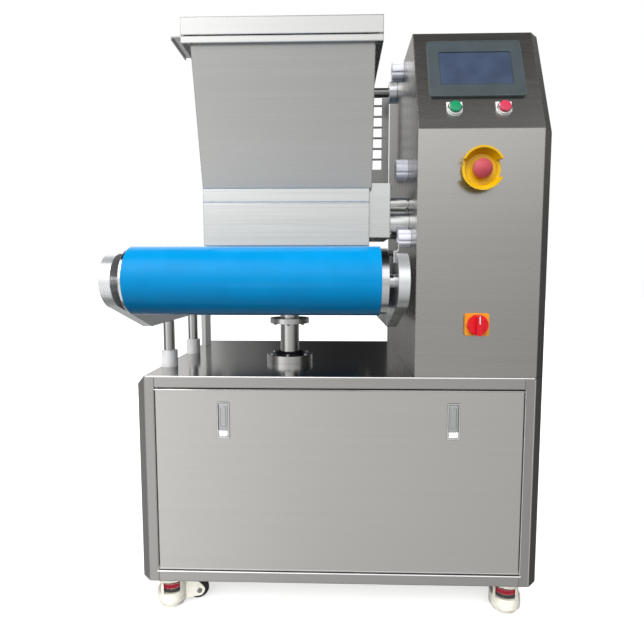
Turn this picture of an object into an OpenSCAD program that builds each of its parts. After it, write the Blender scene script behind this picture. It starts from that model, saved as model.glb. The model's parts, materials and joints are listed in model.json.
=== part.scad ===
// Cookie depositor: a wheeled steel cabinet that carries a drive console, a hopper over a twin-roller
// pump head, and a belt table that a lift raises towards the nozzles.
// Origin on the ground under the middle of the machine, front towards -Y, +Z up, millimetres.

/* [Cabinet] */
// Width over both sides
cab_w = 900; // [800:5:1000]
// Depth from the front face to the back face
cab_d = 580; // [540:5:660]
// Height from the underside to the top plate
cab_h = 475; // [440:5:540]
// Leg of the bevelled corners
bevel = 22; // [12:1:30]
// Sheet thickness of the cabinet and the console
sheet_t = 2; // [1.5:0.5:3]
// Thickness of the cabinet floor
floor_t = 3; // [2:0.5:5]
// Width of the front stiles beside the door
stile_w = 22; // [16:1:40]
// Height of the front rail over the door
top_rail_h = 26; // [20:1:40]
// Height of the front rail under the door
bottom_rail_h = 25; // [20:1:40]
// Depth of the turned-in edges of the front frame
return_d = 26; // [16:1:40]
// Rows of vent slots in a rear cover
vent_rows = 6; // [2:1:8]
// Length of a vent slot
vent_l = 70; // [40:5:100]
// Height of a vent slot
vent_h = 5; // [3:0.5:8]
// Distance between vent slots
vent_pitch = 16; // [12:1:24]

/* [Door] */
// Gap between the door and the stiles
door_gap = 2; // [1.5:0.5:4]
// Gap over and under the door
door_gap_z = 3; // [2.5:0.5:5]
// Depth of the folded edge of the door
door_fold = 18; // [12:1:24]
// Radius of the pivot studs at the foot of the door
stud_r = 4; // [3:0.5:4]
// Distance from the door's edges to its pivot axis
stud_in = 5; // [5:0.5:6]
// Distance of a latch from the cabinet's side
latch_in = 197; // [130:1:270]
// Distance from the top of the door to the middle of a latch
latch_down = 69; // [55:1:120]

/* [Latches] */
// Width of a latch frame
latch_w = 29; // [26:1:36]
// Height of a latch frame
latch_h = 82; // [76:1:100]
// Width of the rim round the latch cup
latch_rim = 2.2; // [2:0.2:3]
// Thickness of the latch frame and cup walls
latch_t = 1.5; // [1:0.1:2]
// Depth of the latch cup
latch_cup = 15; // [12:1:16]
// Thickness of the latch lever
lever_t = 3; // [2.5:0.5:4]
// Radius of the lever's pivot barrel
lever_pin_r = 2.5; // [2:0.1:3]
// Height of the push button in the latch
latch_push_h = 13; // [10:1:16]
// Travel of the push button in the latch
latch_push_travel = 3; // [2:0.5:4]

/* [Casters] */
// Height of a caster from the ground to its plate
caster_h = 85; // [80:1:95]
// Distance of the casters from the cabinet's sides
caster_in_x = 56; // [50:1:90]
// Distance of the casters from the cabinet's front and back
caster_in_y = 54; // [50:1:90]
// Radius of the caster skirt
skirt_r = 35; // [33:0.5:36]
// Wall of the caster skirt
skirt_wall = 6; // [5:0.5:6]
// Height of the skirt's lower edge
skirt_z = 13; // [12:0.5:16]
// Distance from the swivel axis to the wheel axle
wheel_offset = 60; // [60:0.5:64]
// Radius of the caster wheel
wheel_r = 24; // [22:0.5:24]
// Width of the caster wheel
wheel_w = 24; // [20:1:26]
// Radius of the levelling foot
foot_r = 26; // [22:0.5:27]
// Thickness of the levelling foot
foot_t = 10; // [8:0.5:11]
// Radius of the levelling screw
screw_r = 7; // [6:0.5:8]
// Radius of the thumb ring on the levelling screw
ring_r = 27; // [24:0.5:28]

/* [Console] */
// Width of the console
console_w = 284; // [260:2:300]
// Height of the console's upright front
console_front_h = 524; // [480:2:560]
// Rise of the sloping panel
slope_rise = 236; // [230:2:260]
// Run of the sloping panel
slope_run = 102; // [90:1:120]
// Distance from the console's middle to the line of the controls, towards the inner wall
control_in = 12; // [5:0.5:14]
// Width of the touch panel
panel_w = 204; // [196:1:215]
// Height of the touch panel
panel_h = 150; // [142:1:158]
// How far the touch panel stands proud
panel_proud = 6; // [4:0.5:8]
// Width of the screen in the touch panel
screen_w = 154; // [140:1:160]
// Height of the screen in the touch panel
screen_h = 87; // [80:1:96]
// Distance up the slope to the middle of the touch panel
panel_up = 154; // [148:1:160]
// Distance up the slope to the push buttons
button_up = 48; // [42:1:52]
// Distance between the two push buttons
button_pitch = 103; // [80:1:120]
// Radius of a push button cap
button_r = 12; // [10:0.5:13]
// Travel of a push button
button_travel = 4; // [3:0.5:4.5]
// Distance of the stop head below the sloping panel's foot
stop_down = 84; // [70:2:120]
// Radius of the stop head
stop_r = 20; // [18:0.5:22]
// Outer radius of the guard cup round the stop head, at its foot
stop_guard_r = 37; // [35:0.5:40]
// Outer radius of the guard cup at its flared rim
stop_flare_r = 45; // [41:0.5:48]
// Travel of the stop head
stop_travel = 5; // [4:0.5:6]
// Height of the main switch above the console's foot
switch_up = 116; // [90:2:160]
// Width of the main switch plate
switch_w = 52; // [50:1:60]
// Height of the main switch plate
switch_h = 48; // [46:1:60]
// Radius of the main switch knob
switch_r = 22; // [18:0.5:24]

/* [Pump head] */
// Distance of the pump body's left end from the belt's left edge
head_in = 68.7; // [60:0.1:80]
// Distance of the pump body's right end from the console
head_wall_gap = 95; // [90:1:100]
// Depth of the pump body
head_d = 220; // [200:2:230]
// Distance from the machine's middle to the front face of the pump body
head_front = 211; // [205:1:215]
// Height of the underside of the pump body
head_z = 848; // [846:1:852]
// Height of the pump body
head_h = 129; // [127:1:132]
// Wall at the closed end of the pump body
head_wall = 10; // [8:0.5:12]
// Distance between the feed roller axes, which is also the gears' pitch diameter
roller_pitch = 70; // [68:0.5:72]
// Radius of a feed roller
roller_r = 32; // [30:0.5:33]
// Flutes on a feed roller
flutes = 8; // [6:1:12]
// Radius of a flute
flute_r = 6; // [4:0.5:7]
// Height of the roller axes above the underside of the pump body
roller_up = 102; // [101:0.5:103]
// Distance from the front face of the pump body to the front roller axis
roller_in = 70; // [68:0.5:72]
// Radius of the roller journals
journal_r = 10; // [8:0.5:11]
// Teeth on a roller gear
gear_teeth = 20; // [16:1:24]
// Width of a roller gear
gear_w = 30; // [20:1:32]
// Length of the gear housing
housing_l = 50; // [46:0.5:54]
// Wall of the gear housing
housing_wall = 4; // [3:0.5:5]
// Height of the gear housing's underside above that of the pump body
housing_up = 20; // [16:1:26]
// Radius of the drive shaft
shaft_r = 12; // [10:0.5:13]
// Radius of the drive coupling
coupling_r = 16; // [14.5:0.5:18]
// Radius of the bosses that carry the head on the console
boss_r = 30; // [24:0.5:30]
// Nozzles in a row
nozzles = 6; // [4:1:7]
// Radius of a nozzle
nozzle_r = 17; // [14:0.5:18]
// Radius of a nozzle's tip
nozzle_tip_r = 11; // [10:0.5:13]
// Thickness of the nozzle plate
nozzle_plate_t = 12; // [10:0.5:14]
// How far the nozzles stand out under the pump body
nozzle_out = 5; // [3:0.5:6]

/* [Hopper] */
// Height of the hopper from the pump body to its rim
hopper_h = 291; // [260:1:300]
// How far the hopper's front wall leans out at the rim
hopper_lean = 80; // [60:1:90]
// Sheet thickness of the hopper
hopper_t = 2.5; // [2:0.5:3]
// How far the hopper is longer than the pump body
hopper_over = 5; // [3:0.5:8]
// Overhang of the hopper's rim
rim_over = 15; // [12:0.5:18]
// Height of the folded rim
rim_h = 13.5; // [12:0.5:20]
// Height of the hopper lid
lid_h = 35; // [30:1:45]

/* [Guard] */
// Radius of the guard's pivot rod
guard_rod_r = 13; // [10:0.5:14]
// Distance of the pivot rod behind the machine's middle
guard_y = 118; // [110:1:130]
// Height of the pivot rod below the console's top
guard_down = 21; // [20:0.5:30]
// Number of thin bars in the guard
guard_bars = 6; // [4:1:7]
// Distance between the thin bars
guard_pitch = 30; // [26:0.5:32]
// Distance from the pivot rod to the first thin bar
guard_first = 36; // [32:0.5:40]
// Radius of a thin bar
guard_bar_r = 2.8; // [2:0.1:4]
// Height of the box bar at the guard's foot
guard_foot_h = 37; // [24:1:40]
// Radius of the collar on the pivot rod
collar_r = 28.5; // [24:0.5:30]

/* [Hand knobs] */
// Radius of the upper knob
knob_upper_r = 24; // [20:0.5:28]
// Radius of the middle knob
knob_middle_r = 25; // [20:0.5:28]
// Radius of the lower knob
knob_lower_r = 20; // [18:0.5:22]
// Length of a knob
knob_l = 28; // [22:0.5:32]
// Radius of a knob's stud
knob_stud_r = 5; // [4:0.5:6]

/* [Belt table] */
// Distance of the left side plate from the cabinet's left side
table_in = 28.3; // [27:0.1:34]
// Distance of the right side plate from the console
table_wall_gap = 41.7; // [36:0.1:50]
// Thickness of a side plate
plate_t = 20; // [12:1:20]
// Distance of a drum axis from the machine's middle
drum_y = 446; // [420:2:480]
// Height of the drum axes
drum_z = 771; // [766:1:772]
// Radius of a drum
drum_r = 60; // [58:0.5:60.5]
// Wall of a drum tube
drum_wall = 4; // [3:0.5:6]
// Distance of a drum from the side plates, at its left and right ends
drum_gaps = [21.5, 17]; // [14:0.5:24]
// Radius of a drum's axle
axle_r = 12.5; // [10:0.5:15]
// Distance of the belt from the side plates, at its left and right edges
belt_gaps = [24, 30]; // [22:0.5:36]
// Thickness of the belt
belt_t = 2.7; // [2:0.1:3]
// Radius of a side plate's rounded end
plate_end_r = 50; // [44:0.5:56]
// Depth of a side plate below the drum axes
plate_low = 100; // [96:1:110]
// Distance from the machine's middle to the lower corner of a side plate
plate_corner_y = 300; // [260:5:330]
// Thickness of the slider bed under the belt
bed_t = 4; // [3:0.5:6]
// Side of the square cross tubes under the bed
tube_w = 40; // [30:1:50]

/* [Lift] */
// Distance of the lift column from the middle of the table
column_off = 24.7; // [0:0.1:40]
// Distance of the lift column in front of the machine's middle
column_front = 81; // [60:1:100]
// Radius of the lift column
column_r = 24; // [20:0.5:26]
// Radius of the flange on the cabinet
flange_r = 58.5; // [52:0.5:62]
// Thickness of the flange on the cabinet
flange_t = 18; // [12:0.5:20]
// Radius of the lift housing in the cabinet
lift_r = 45; // [42:0.5:48]
// Length of the lift housing in the cabinet
lift_l = 420; // [380:5:430]
// Radius of the flange under the belt table
head_flange_r = 50; // [44:0.5:54]
// Travel of the belt table
lift_travel = 60; // [40:1:70]
// Radius of a guide rod
guide_r = 13; // [10:0.5:13]
// Length of a guide rod
guide_l = 340; // [280:5:380]
// Radius of a guide bush
bush_r = 19; // [18:0.5:20]
// Height of a guide bush over the cabinet
bush_h = 40; // [30:1:44]
// Width of the flat limit bar
bar_t = 13; // [8:0.5:16]
// Depth of the flat limit bar
bar_d = 63; // [40:1:70]

/* [Fits] */
// Radial clearance of a running fit
run_fit = 0.05; // [0.02:0.01:0.1]
// Clearance between pieces that move past each other
move_gap = 0.3; // [0.25:0.05:0.5]

/* [Hidden] */
$fn = 64;
sides = ["left", "right"];
corners = ["front_left", "front_right", "rear_left", "rear_right"];

// Overrun of every cut
over = 1;
// How far a straight edge runs inside the round end that it meets
tangent_in = 0.4;

// Cabinet places
cab_z = caster_h;
cab_top = cab_z + cab_h;
front_y = -cab_d / 2;
back_y = cab_d / 2;
open_x = cab_w / 2 - bevel - stile_w;
open_z0 = cab_z + bottom_rail_h;
open_z1 = cab_top - top_rail_h;
wire_hole_r = 30;
panel_fit = 0.3;

// Door places
door_x = open_x - door_gap;
door_z0 = open_z0 + door_gap_z;
door_z1 = open_z1 - door_gap_z;
pivot_y = front_y + stud_in;
pivot_z = door_z0 + stud_in;
stud_end = door_gap + 2 * sheet_t;
latch_x = cab_w / 2 - latch_in;
latch_z = door_z1 - latch_down;
latch_cut_fit = 0.2;

// Latch places, measured from the middle of the latch
cup_w = latch_w - 2 * latch_rim;
cup_h = latch_h - 2 * latch_rim;
cup_in_w = cup_w - 2 * latch_t;
cup_in_h = cup_h - 2 * latch_t;
latch_play = 0.5;
lever_w = cup_in_w - 2 * latch_play;
push_z0 = -cup_in_h / 2 + latch_play;
lever_z0 = push_z0 + latch_push_h + latch_play;
lever_pivot_z = cup_in_h / 2 - latch_play - lever_pin_r;
lever_stub_r = lever_pin_r - latch_t / 2;

// Caster places, measured from the ground
caster_turns = [20, 75, -25, 200];
caster_x = cab_w / 2 - caster_in_x;
caster_y = cab_d / 2 - caster_in_y;
caster_plate_w = 72;
caster_plate_t = 3;
swivel_r = 15;
swivel_h = 8;
skirt_top = cab_z - caster_plate_t - move_gap;
skirt_in = skirt_r - skirt_wall;
crown_t = swivel_h - move_gap;
window_w = 43;
window_z0 = 38;
window_z1 = 66;
deck_z = 28;
deck_t = 6;
wheel_lift = 1.5;
wheel_z = wheel_r + wheel_lift;
wheel_axle_r = 4;
wheel_play = 1;
wheel_edge = 4;
cheek_t = 6;
cheek_r = 13;
screw_top = 66;
ring_z = 47;
ring_t = 11;
nut_r = 25;
nut_t = 6;

// Console places
bevel_step = 0.6;
wall_x = cab_w / 2 - console_w;
slope_z = cab_top + console_front_h;
console_top = slope_z + slope_rise;
slope_l = sqrt(slope_rise * slope_rise + slope_run * slope_run);
slope_angle = atan2(slope_rise, slope_run);
control_x = wall_x + console_w / 2 - control_in;
stop_z = slope_z - stop_down;
panel_lip = 8;
panel_back_w = panel_w - 2 * panel_lip;
panel_back_h = panel_h - 2 * panel_lip;
panel_deep = 38;
panel_round = 8;
screen_sink = 1.2;
screen_t = 1;
legend_w = 33;
legend_t = 2;
button_ring_r = 15;
button_ring_h = 4;
button_stem_r = 9;
button_stem_l = 22;
button_cap_h = 5;
stop_stem_r = 11;
stop_stem_l = 30;
stop_neck = 16;
stop_cap_h = 14;
stop_dome_share = 1.6;
stop_guard_h = 24;
stop_guard_wall = 5;
stop_guard_floor = 5;
stop_bush = 3.5;
stop_notch_w = 36;
stop_notch_up = 4;
switch_plate_t = 7;
switch_round = 5;
switch_disc_h = 8;
switch_grip_h = 14;
switch_grip_w = 12;
switch_stem_r = 6;
switch_stem_l = 24;
wall_boss_l = 24;

// Pump head places
plate_x = [-cab_w / 2 + table_in, wall_x - table_wall_gap - plate_t];
belt_x = [plate_x[0] + plate_t + belt_gaps[0], plate_x[1] - belt_gaps[1]];
drum_x = [plate_x[0] + plate_t + drum_gaps[0], plate_x[1] - drum_gaps[1]];
table_x = (plate_x[0] + plate_t + plate_x[1]) / 2;
head_x0 = belt_x[0] + head_in;
head_x1 = wall_x - head_wall_gap;
head_l = head_x1 - head_x0;
head_y0 = -head_front;
head_y1 = head_y0 + head_d;
head_top = head_z + head_h;
roller_z = head_z + roller_up;
roller_y = [head_y0 + roller_in, head_y0 + roller_in + roller_pitch];
roller_play = 0.5;
roller_end_play = 2;
chamber_w = 40;
chamber_floor = 24;
throat_w = 118;
outlet_r = 7;
groove_up = 96;
groove_w = 3;
groove_deep = 1;
gear_module = roller_pitch / gear_teeth;
tooth_out_share = 0.85;
tooth_in_share = 1.15;
tooth_half_shares = [0.30, 0.12, -0.12, -0.30];
gear_out_r = roller_pitch / 2 + tooth_out_share * gear_module;
gear_root_r = roller_pitch / 2 - tooth_in_share * gear_module;
gear_play = 1.5;
housing_x1 = head_x1 + housing_l;
housing_y0 = roller_y[0] - gear_out_r - gear_play - housing_wall;
housing_y1 = roller_y[1] + gear_out_r + gear_play + housing_wall;
housing_z0 = head_z + housing_up;
housing_z1 = roller_z + gear_out_r + gear_play + housing_wall;
bearing_wall = 8;
boss_up = 54;
boss_off = 9;
boss_y = [roller_y[0] - boss_off, roller_y[1] + boss_off];
coupling_end_gap = 3;
shaft_in = 84;
shaft_end_x = wall_x + shaft_in;
nozzle_pitch = (head_l - 2 * head_wall) / nozzles;
nozzle_x = [for (i = [0 : nozzles - 1]) head_x0 + head_wall + (2 * i + 1) * nozzle_pitch / 2];
middle_y = (roller_y[0] + roller_y[1]) / 2;
nozzle_plate_w = 100;
nozzle_bore_r = 9;
nozzle_tip_t = 3;
star_points = 6;
star_r = 8;
star_in_share = 0.5;
pocket_fit = 0.3;

// Drive and electrical places
motor_plate_w = 160;
motor_plate_t = 8;
gearbox_w = 130;
gearbox_l = 114;
motor_r = 62;
motor_l = 140;
panel_plate_in = 170;
panel_plate_w = cab_w - 2 * panel_plate_in;
panel_plate_h = 340;
panel_plate_up = 70;
panel_plate_z = cab_z + panel_plate_up;
panel_stand = 16;
panel_stand_r = 6;
drive_shares = [[0.06, 0.2, 0.47], [0.3, 0.24, 0.43], [0.6, 0.3, 0.46]];
drive_mid_share = 0.5;
drive_up_share = 0.25;
drive_d = 90;

// Hopper places
hopper_x0 = head_x0;
hopper_x1 = head_x1 + hopper_over;
hopper_y1 = head_y1;
hopper_top = head_top + hopper_h;
mouth_y0 = head_y0 - hopper_lean;
lid_gap = 2.4;
lid_rest_r = 4;
lid_pin_r = 4;
knuckle_l = 40;
knuckle_wall = 3;
knuckle_r = lid_pin_r + knuckle_wall;
lid_pivot_y = hopper_y1 + rim_over + lid_pin_r + knuckle_r;
lid_pivot_z = hopper_top + lid_pin_r + move_gap;
knuckle_in = 60;
arm_l = 19.4;
tab_w = 20;
tab_l = 98;

// Guard places
guard_z = console_top - guard_down;
guard_x0 = head_x0;
collar_l = 20;
guard_x1 = wall_x - collar_l;
guard_stile_w = 20;
guard_stile_t = 5;
guard_foot_d = 14;
guard_foot_z = guard_z - guard_first - guard_pitch * guard_bars - guard_foot_h;

// Hand knob places on the console's inner wall
knob_ys = [-26, -129, -194];
knob_top_in = 20;
knob_mid_up = 82;
knob_low_up = 17;
knob_zs = [console_top - knob_top_in, roller_z + knob_mid_up, head_z + knob_low_up];
knob_rs = [knob_upper_r, knob_middle_r, knob_lower_r];
knob_spots = [for (i = [0 : 2]) [knob_ys[i], knob_zs[i], knob_rs[i]]];
knob_boss_r = 10;
knob_stud_l = 22;
knob_lobes = 8;
knob_lobe_r = 5;
knob_hub_share = 0.45;

// Belt table places
plate_z0 = drum_z - plate_low;
belt_in_r = drum_r + move_gap;
belt_out_r = belt_in_r + belt_t;
drum_end_t = 8;
axle_nub = 6;
bed_y = 340;
bed_gap = 0.5;
bed_z1 = drum_z + belt_in_r - bed_gap;
tube_y = 250;
beam_t = 14;
beam_d = 120;
beam_gap = 6;
beam_z = drum_z - belt_out_r - beam_gap - beam_t;

// Lift places
column_x = table_x + column_off;
column_y = -column_front;
head_flange_t = 13;
ram_l = 380;
guide_y = [-173, 28];
guide_off = 3.2;
guide_x = plate_x[0] + plate_t / 2 + guide_off;
bush_step = 4;
bush_low_r = bush_r - bush_step;
bush_low_l = 30;
bar_y = 172;
bar_l = 230;
bar_fit = 1;
lift_floor = 12;

// Leg of a bevel on a surface set in from the outside
function leg(inset) = bevel - inset * (2 - sqrt(2));

// Plan of the cabinet, set in from its outside, with bevelled front corners; past opens its back
function plan(inset, past = 0) = let (w = cab_w / 2 - inset, d = cab_d / 2 - inset, c = leg(inset),
        b = past > 0 ? back_y + past : d)
    [[-w, b], [-w, -d + c], [-w + c, -d], [w - c, -d], [w, -d + c], [w, b]];

// Side outline of the console, set in from its outside
function console_side(inset) = let (n = inset / slope_l,
        s0 = inset * (slope_l - slope_rise) / slope_run,
        s1 = (slope_rise - inset + n * slope_run) * slope_l / slope_rise)
    [[front_y + inset, cab_top], [front_y + inset, slope_z - n * slope_run + s0 * slope_rise / slope_l],
     [front_y + n * slope_rise + s1 * slope_run / slope_l, console_top - inset],
     [back_y, console_top - inset], [back_y, cab_top]];

// Point where the line from p touches a circle, on the side given by sign
function touch(centre, r, p, sign) = let (v = p - centre, d = norm(v), a = atan2(v[1], v[0]),
        b = acos(r / d) * sign)
    centre + r * [cos(a + b), sin(a + b)];

// Outline of a gear with straight-flanked teeth
function gear_outline(turn) = [for (i = [0 : gear_teeth - 1], k = [0 : 3])
    let (step = 360 / gear_teeth, half = tooth_half_shares[k] * step,
         r = (k == 0 || k == 3) ? gear_root_r : gear_out_r, a = turn + i * step - half)
    [r * cos(a), r * sin(a)]];

// Outline of the star opening in a nozzle tip
function star_outline(r) = [for (i = [0 : 2 * star_points - 1])
    let (q = i % 2 == 0 ? r : r * star_in_share, a = i * 180 / star_points) [q * cos(a), q * sin(a)]];

// Box between two corners
module box(lo, hi) translate(lo) cube(hi - lo);

// Cylinder along X between two places
module rod_x(x0, x1, r, y, z) translate([x0, y, z]) rotate([0, 90, 0]) cylinder(r = r, h = x1 - x0);

// Cylinder along Y between two places
module rod_y(y0, y1, r, x, z) translate([x, y0, z]) rotate([-90, 0, 0]) cylinder(r = r, h = y1 - y0);

// Outline in Y and Z drawn along X
module along_x(x0, x1) translate([x0, 0, 0]) rotate([90, 0, 90]) linear_extrude(x1 - x0) children();

// Outline in X and Z drawn along Y
module along_y(y0, y1) translate([0, y1, 0]) rotate([90, 0, 0]) linear_extrude(y1 - y0) children();

// Frame on the console's upright front, +Z out of the face and +Y up
module on_front(x, z) translate([x, front_y, z]) rotate([90, 0, 0]) children();

// Frame on the sloping panel, +Z out of the face and +Y up the slope
module on_slope(x, up) translate([x, front_y + up * slope_run / slope_l, slope_z + up * slope_rise / slope_l])
    rotate([slope_angle, 0, 0]) children();

// Frame on the console's inner wall, +Z out of the wall
module on_wall(y, z) translate([wall_x, y, z]) rotate([0, -90, 0]) children();

// Rectangle with rounded corners, centred
module soft_square(w, h, r) union() {
    square([w - 2 * r, h], center = true);
    square([w, h - 2 * r], center = true);
    for (x = [-1, 1], y = [-1, 1]) translate([x * (w / 2 - r), y * (h / 2 - r)]) circle(r);
}

// Vent slots in a rear cover
module vents(x, z) for (i = [0 : vent_rows - 1], s = [-1, 1])
    box([x + (s - 1) * vent_l / 2 + s * vent_pitch / 2, back_y - sheet_t - over, z + i * vent_pitch],
        [x + (s + 1) * vent_l / 2 + s * vent_pitch / 2, back_y + over, z + i * vent_pitch + vent_h]);

// Solid form of the cabinet, set in from its outside, and drawn past its open sides
module cabinet_form(inset, past = 0) difference() {
    translate([0, 0, cab_z - past]) linear_extrude(cab_h - inset + 2 * past) polygon(plan(inset, past));
    left = -cab_w / 2 + inset;
    top = cab_top - inset;
    reach = past + over;
    along_y(front_y - over, back_y + over)
        polygon([[left - reach, top + reach], [left - reach, top - leg(inset) - reach],
                 [left + leg(inset) + reach, top + reach]]);
}

// One folded side of the cabinet with its bevel and its stile, on the side given by sign
module side_panel(sign) difference() {
    edge = cab_w / 2 + over;
    union() {
        intersection() {
            difference() {
                cabinet_form(0);
                cabinet_form(sheet_t, over);
            }
            box([min(sign * edge, sign * open_x), front_y - over, cab_z],
                [max(sign * edge, sign * open_x), back_y + over, cab_top - sheet_t]);
        }
        box([min(sign * open_x, sign * (open_x + sheet_t)), front_y, cab_z + floor_t],
            [max(sign * open_x, sign * (open_x + sheet_t)), front_y + return_d, cab_top - sheet_t]);
    }
    reach = [sign * (open_x - over), sign * (door_x + stud_end + over)];
    rod_x(min(reach), max(reach), stud_r + run_fit, pivot_y, pivot_z);
}

module left_side_panel() color("#a8a8a6") side_panel(-1);
module right_side_panel() color("#a8a8a6") side_panel(1);

module front_top_rail() color("#a8a8a6") union() {
    box([-open_x, front_y, open_z1], [open_x, front_y + sheet_t, cab_top - sheet_t]);
    box([-open_x, front_y, open_z1], [open_x, front_y + return_d, open_z1 + sheet_t]);
}

module front_bottom_rail() color("#a8a8a6") union() {
    box([-open_x, front_y, cab_z], [open_x, front_y + sheet_t, open_z0]);
    box([-open_x, front_y, open_z0 - sheet_t], [open_x, front_y + return_d, open_z0]);
}

module floor_plate() color("#8f8f8d") translate([0, 0, cab_z]) linear_extrude(floor_t) polygon(plan(sheet_t));

module rear_panel() color("#a0a09e") difference() {
    w = cab_w / 2 - sheet_t - panel_fit;
    top = cab_top - sheet_t;
    along_y(back_y - sheet_t, back_y)
        polygon([[-w, cab_z], [w, cab_z], [w, top], [-w + leg(sheet_t + panel_fit), top],
                 [-w, top - leg(sheet_t + panel_fit)]]);
    for (s = [-1, 1]) vents(s * cab_w / 4, cab_z + cab_h / 4);
}

module top_plate() color("#7d7d7b") difference() {
    intersection() {
        cabinet_form(0);
        box([-cab_w, -cab_d, cab_top - sheet_t], [cab_w, cab_d, cab_top + over]);
    }
    translate([0, 0, cab_top - sheet_t - over]) {
        through = sheet_t + 2 * over;
        translate([column_x, column_y, 0]) cylinder(r = lift_r + panel_fit, h = through);
        for (y = guide_y) translate([guide_x, y, 0]) cylinder(r = bush_low_r + panel_fit, h = through);
        translate([control_x, 0, 0]) cylinder(r = wire_hole_r, h = through);
    }
    box([guide_x - bar_t / 2 - bar_fit, bar_y - bar_d / 2 - bar_fit, cab_top - sheet_t - over],
        [guide_x + bar_t / 2 + bar_fit, bar_y + bar_d / 2 + bar_fit, cab_top + over]);
}

// Door tray: skin with folded edges, openings for the latches and a pivot stud at each lower corner
module front_door() color("#b4b4af") difference() {
    union() {
        difference() {
            box([-door_x, front_y, door_z0], [door_x, front_y + sheet_t + door_fold, door_z1]);
            box([-door_x + sheet_t, front_y + sheet_t, door_z0 + sheet_t],
                [door_x - sheet_t, front_y + sheet_t + door_fold + over, door_z1 - sheet_t]);
        }
        for (s = [-1, 1]) mirror([s < 0 ? 1 : 0, 0, 0])
            rod_x(door_x - sheet_t, door_x + stud_end, stud_r, pivot_y, pivot_z);
    }
    w = cup_w / 2 + latch_cut_fit;
    h = cup_h / 2 + latch_cut_fit;
    for (s = [-1, 1]) translate([s * latch_x, front_y, latch_z]) box([-w, -over, -h], [w, sheet_t + over, h]);
}

// Flush latch: rim on the door with a cup behind it
module latch_frame(x) translate([x, front_y, latch_z]) difference() {
    union() {
        box([-latch_w / 2, -latch_t, -latch_h / 2], [latch_w / 2, 0, latch_h / 2]);
        box([-cup_w / 2, -latch_t, -cup_h / 2], [cup_w / 2, latch_cup, cup_h / 2]);
    }
    box([-cup_in_w / 2, -latch_t - over, -cup_in_h / 2], [cup_in_w / 2, latch_cup - latch_t, cup_in_h / 2]);
    rod_x(-cup_w / 2 - over, cup_w / 2 + over, lever_stub_r + run_fit, lever_pin_r, lever_pivot_z);
}

module latch_frames() color("#c9c9c6") union() {
    for (s = [-1, 1]) latch_frame(s * latch_x);
}

// Lever that swings out of the cup about the pin at its upper end
module latch_lever(x) color("#9b9b98") translate([x, front_y, latch_z]) union() {
    box([-lever_w / 2, 0, lever_z0], [lever_w / 2, lever_t, lever_pivot_z]);
    rod_x(-lever_w / 2, lever_w / 2, lever_pin_r, lever_pin_r, lever_pivot_z);
    rod_x(-cup_w / 2, cup_w / 2, lever_stub_r, lever_pin_r, lever_pivot_z);
}

// Push button that lets the lever go, on a stem that runs in the cup
module latch_button(x) color("#ecebe6") translate([x, front_y, latch_z])
    box([-lever_w / 2, -latch_t, push_z0],
        [lever_w / 2, latch_cup - latch_t - latch_push_travel - move_gap, push_z0 + latch_push_h]);

// Frame of one caster, turned as it stands
module caster_frame(i) translate([(i % 2 == 0 ? -1 : 1) * caster_x, (i < 2 ? -1 : 1) * caster_y, 0])
    rotate([0, 0, caster_turns[i]]) children();

module caster_plates() color("#b9b9b6") union() {
    for (i = [0 : 3]) caster_frame(i) {
        rotate([0, 0, -caster_turns[i]]) translate([0, 0, cab_z - caster_plate_t / 2])
            cube([caster_plate_w, caster_plate_w, caster_plate_t], center = true);
        translate([0, 0, cab_z - caster_plate_t - swivel_h])
            cylinder(r = swivel_r, h = swivel_h + caster_plate_t / 2);
    }
}

// Cheek of the wheel fork: an arm from the skirt down to a round end on the axle
module cheek_outline() union() {
    hub = [wheel_offset, wheel_z];
    high = [skirt_r, skirt_top];
    low = [skirt_in, skirt_z];
    translate(hub) circle(cheek_r);
    polygon([[skirt_in, skirt_top], high, touch(hub, cheek_r - tangent_in, high, -1), hub,
             touch(hub, cheek_r - tangent_in, low, 1), low]);
}

// Caster body: a windowed skirt that turns under its plate, with the fork for the wheel
module caster_body(i) color("#ebe8da") caster_frame(i) difference() {
    union() {
        translate([0, 0, skirt_z]) cylinder(r = skirt_r, h = skirt_top - skirt_z);
        for (s = [-1, 1]) translate([0, s * (wheel_w / 2 + wheel_play + cheek_t / 2) + cheek_t / 2, 0])
            rotate([90, 0, 0]) linear_extrude(cheek_t) cheek_outline();
        rod_y(-wheel_w / 2 - wheel_play - cheek_t / 2, wheel_w / 2 + wheel_play + cheek_t / 2,
              wheel_axle_r, wheel_offset, wheel_z);
    }
    translate([0, 0, skirt_z - over]) cylinder(r = skirt_in, h = deck_z - skirt_z + over);
    translate([0, 0, deck_z + deck_t]) cylinder(r = skirt_in, h = skirt_top - crown_t - deck_z - deck_t);
    translate([0, 0, deck_z - over]) cylinder(r = screw_r + run_fit, h = deck_t + 2 * over);
    translate([0, 0, skirt_top - crown_t - over]) cylinder(r = swivel_r + run_fit, h = crown_t + 2 * over);
    box([-skirt_r - over, -window_w / 2, window_z0], [0, window_w / 2, window_z1]);
    box([-window_w / 2, -skirt_r - over, window_z0], [window_w / 2 - cheek_t, skirt_r + over, window_z1]);
}

// Wheel with eased edges
module caster_wheel(i) color("#141414") caster_frame(i) translate([wheel_offset, wheel_w / 2, wheel_z])
    rotate([90, 0, 0]) rotate_extrude() difference() {
        translate([wheel_axle_r + run_fit, 0]) square([wheel_r - wheel_axle_r - run_fit, wheel_w]);
        for (y = [0, wheel_w]) translate([wheel_r, y]) rotate([0, 0, 45])
            square(wheel_edge, center = true);
    }

// Levelling foot: pad, screw, lock nut and thumb ring
module caster_foot(i) color("#202020") caster_frame(i) union() {
    cylinder(r = foot_r, h = foot_t);
    cylinder(r = screw_r, h = screw_top);
    translate([0, 0, ring_z - nut_t]) cylinder(r = nut_r, h = nut_t);
    translate([0, 0, ring_z]) cylinder(r = ring_r, h = ring_t);
}

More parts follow.
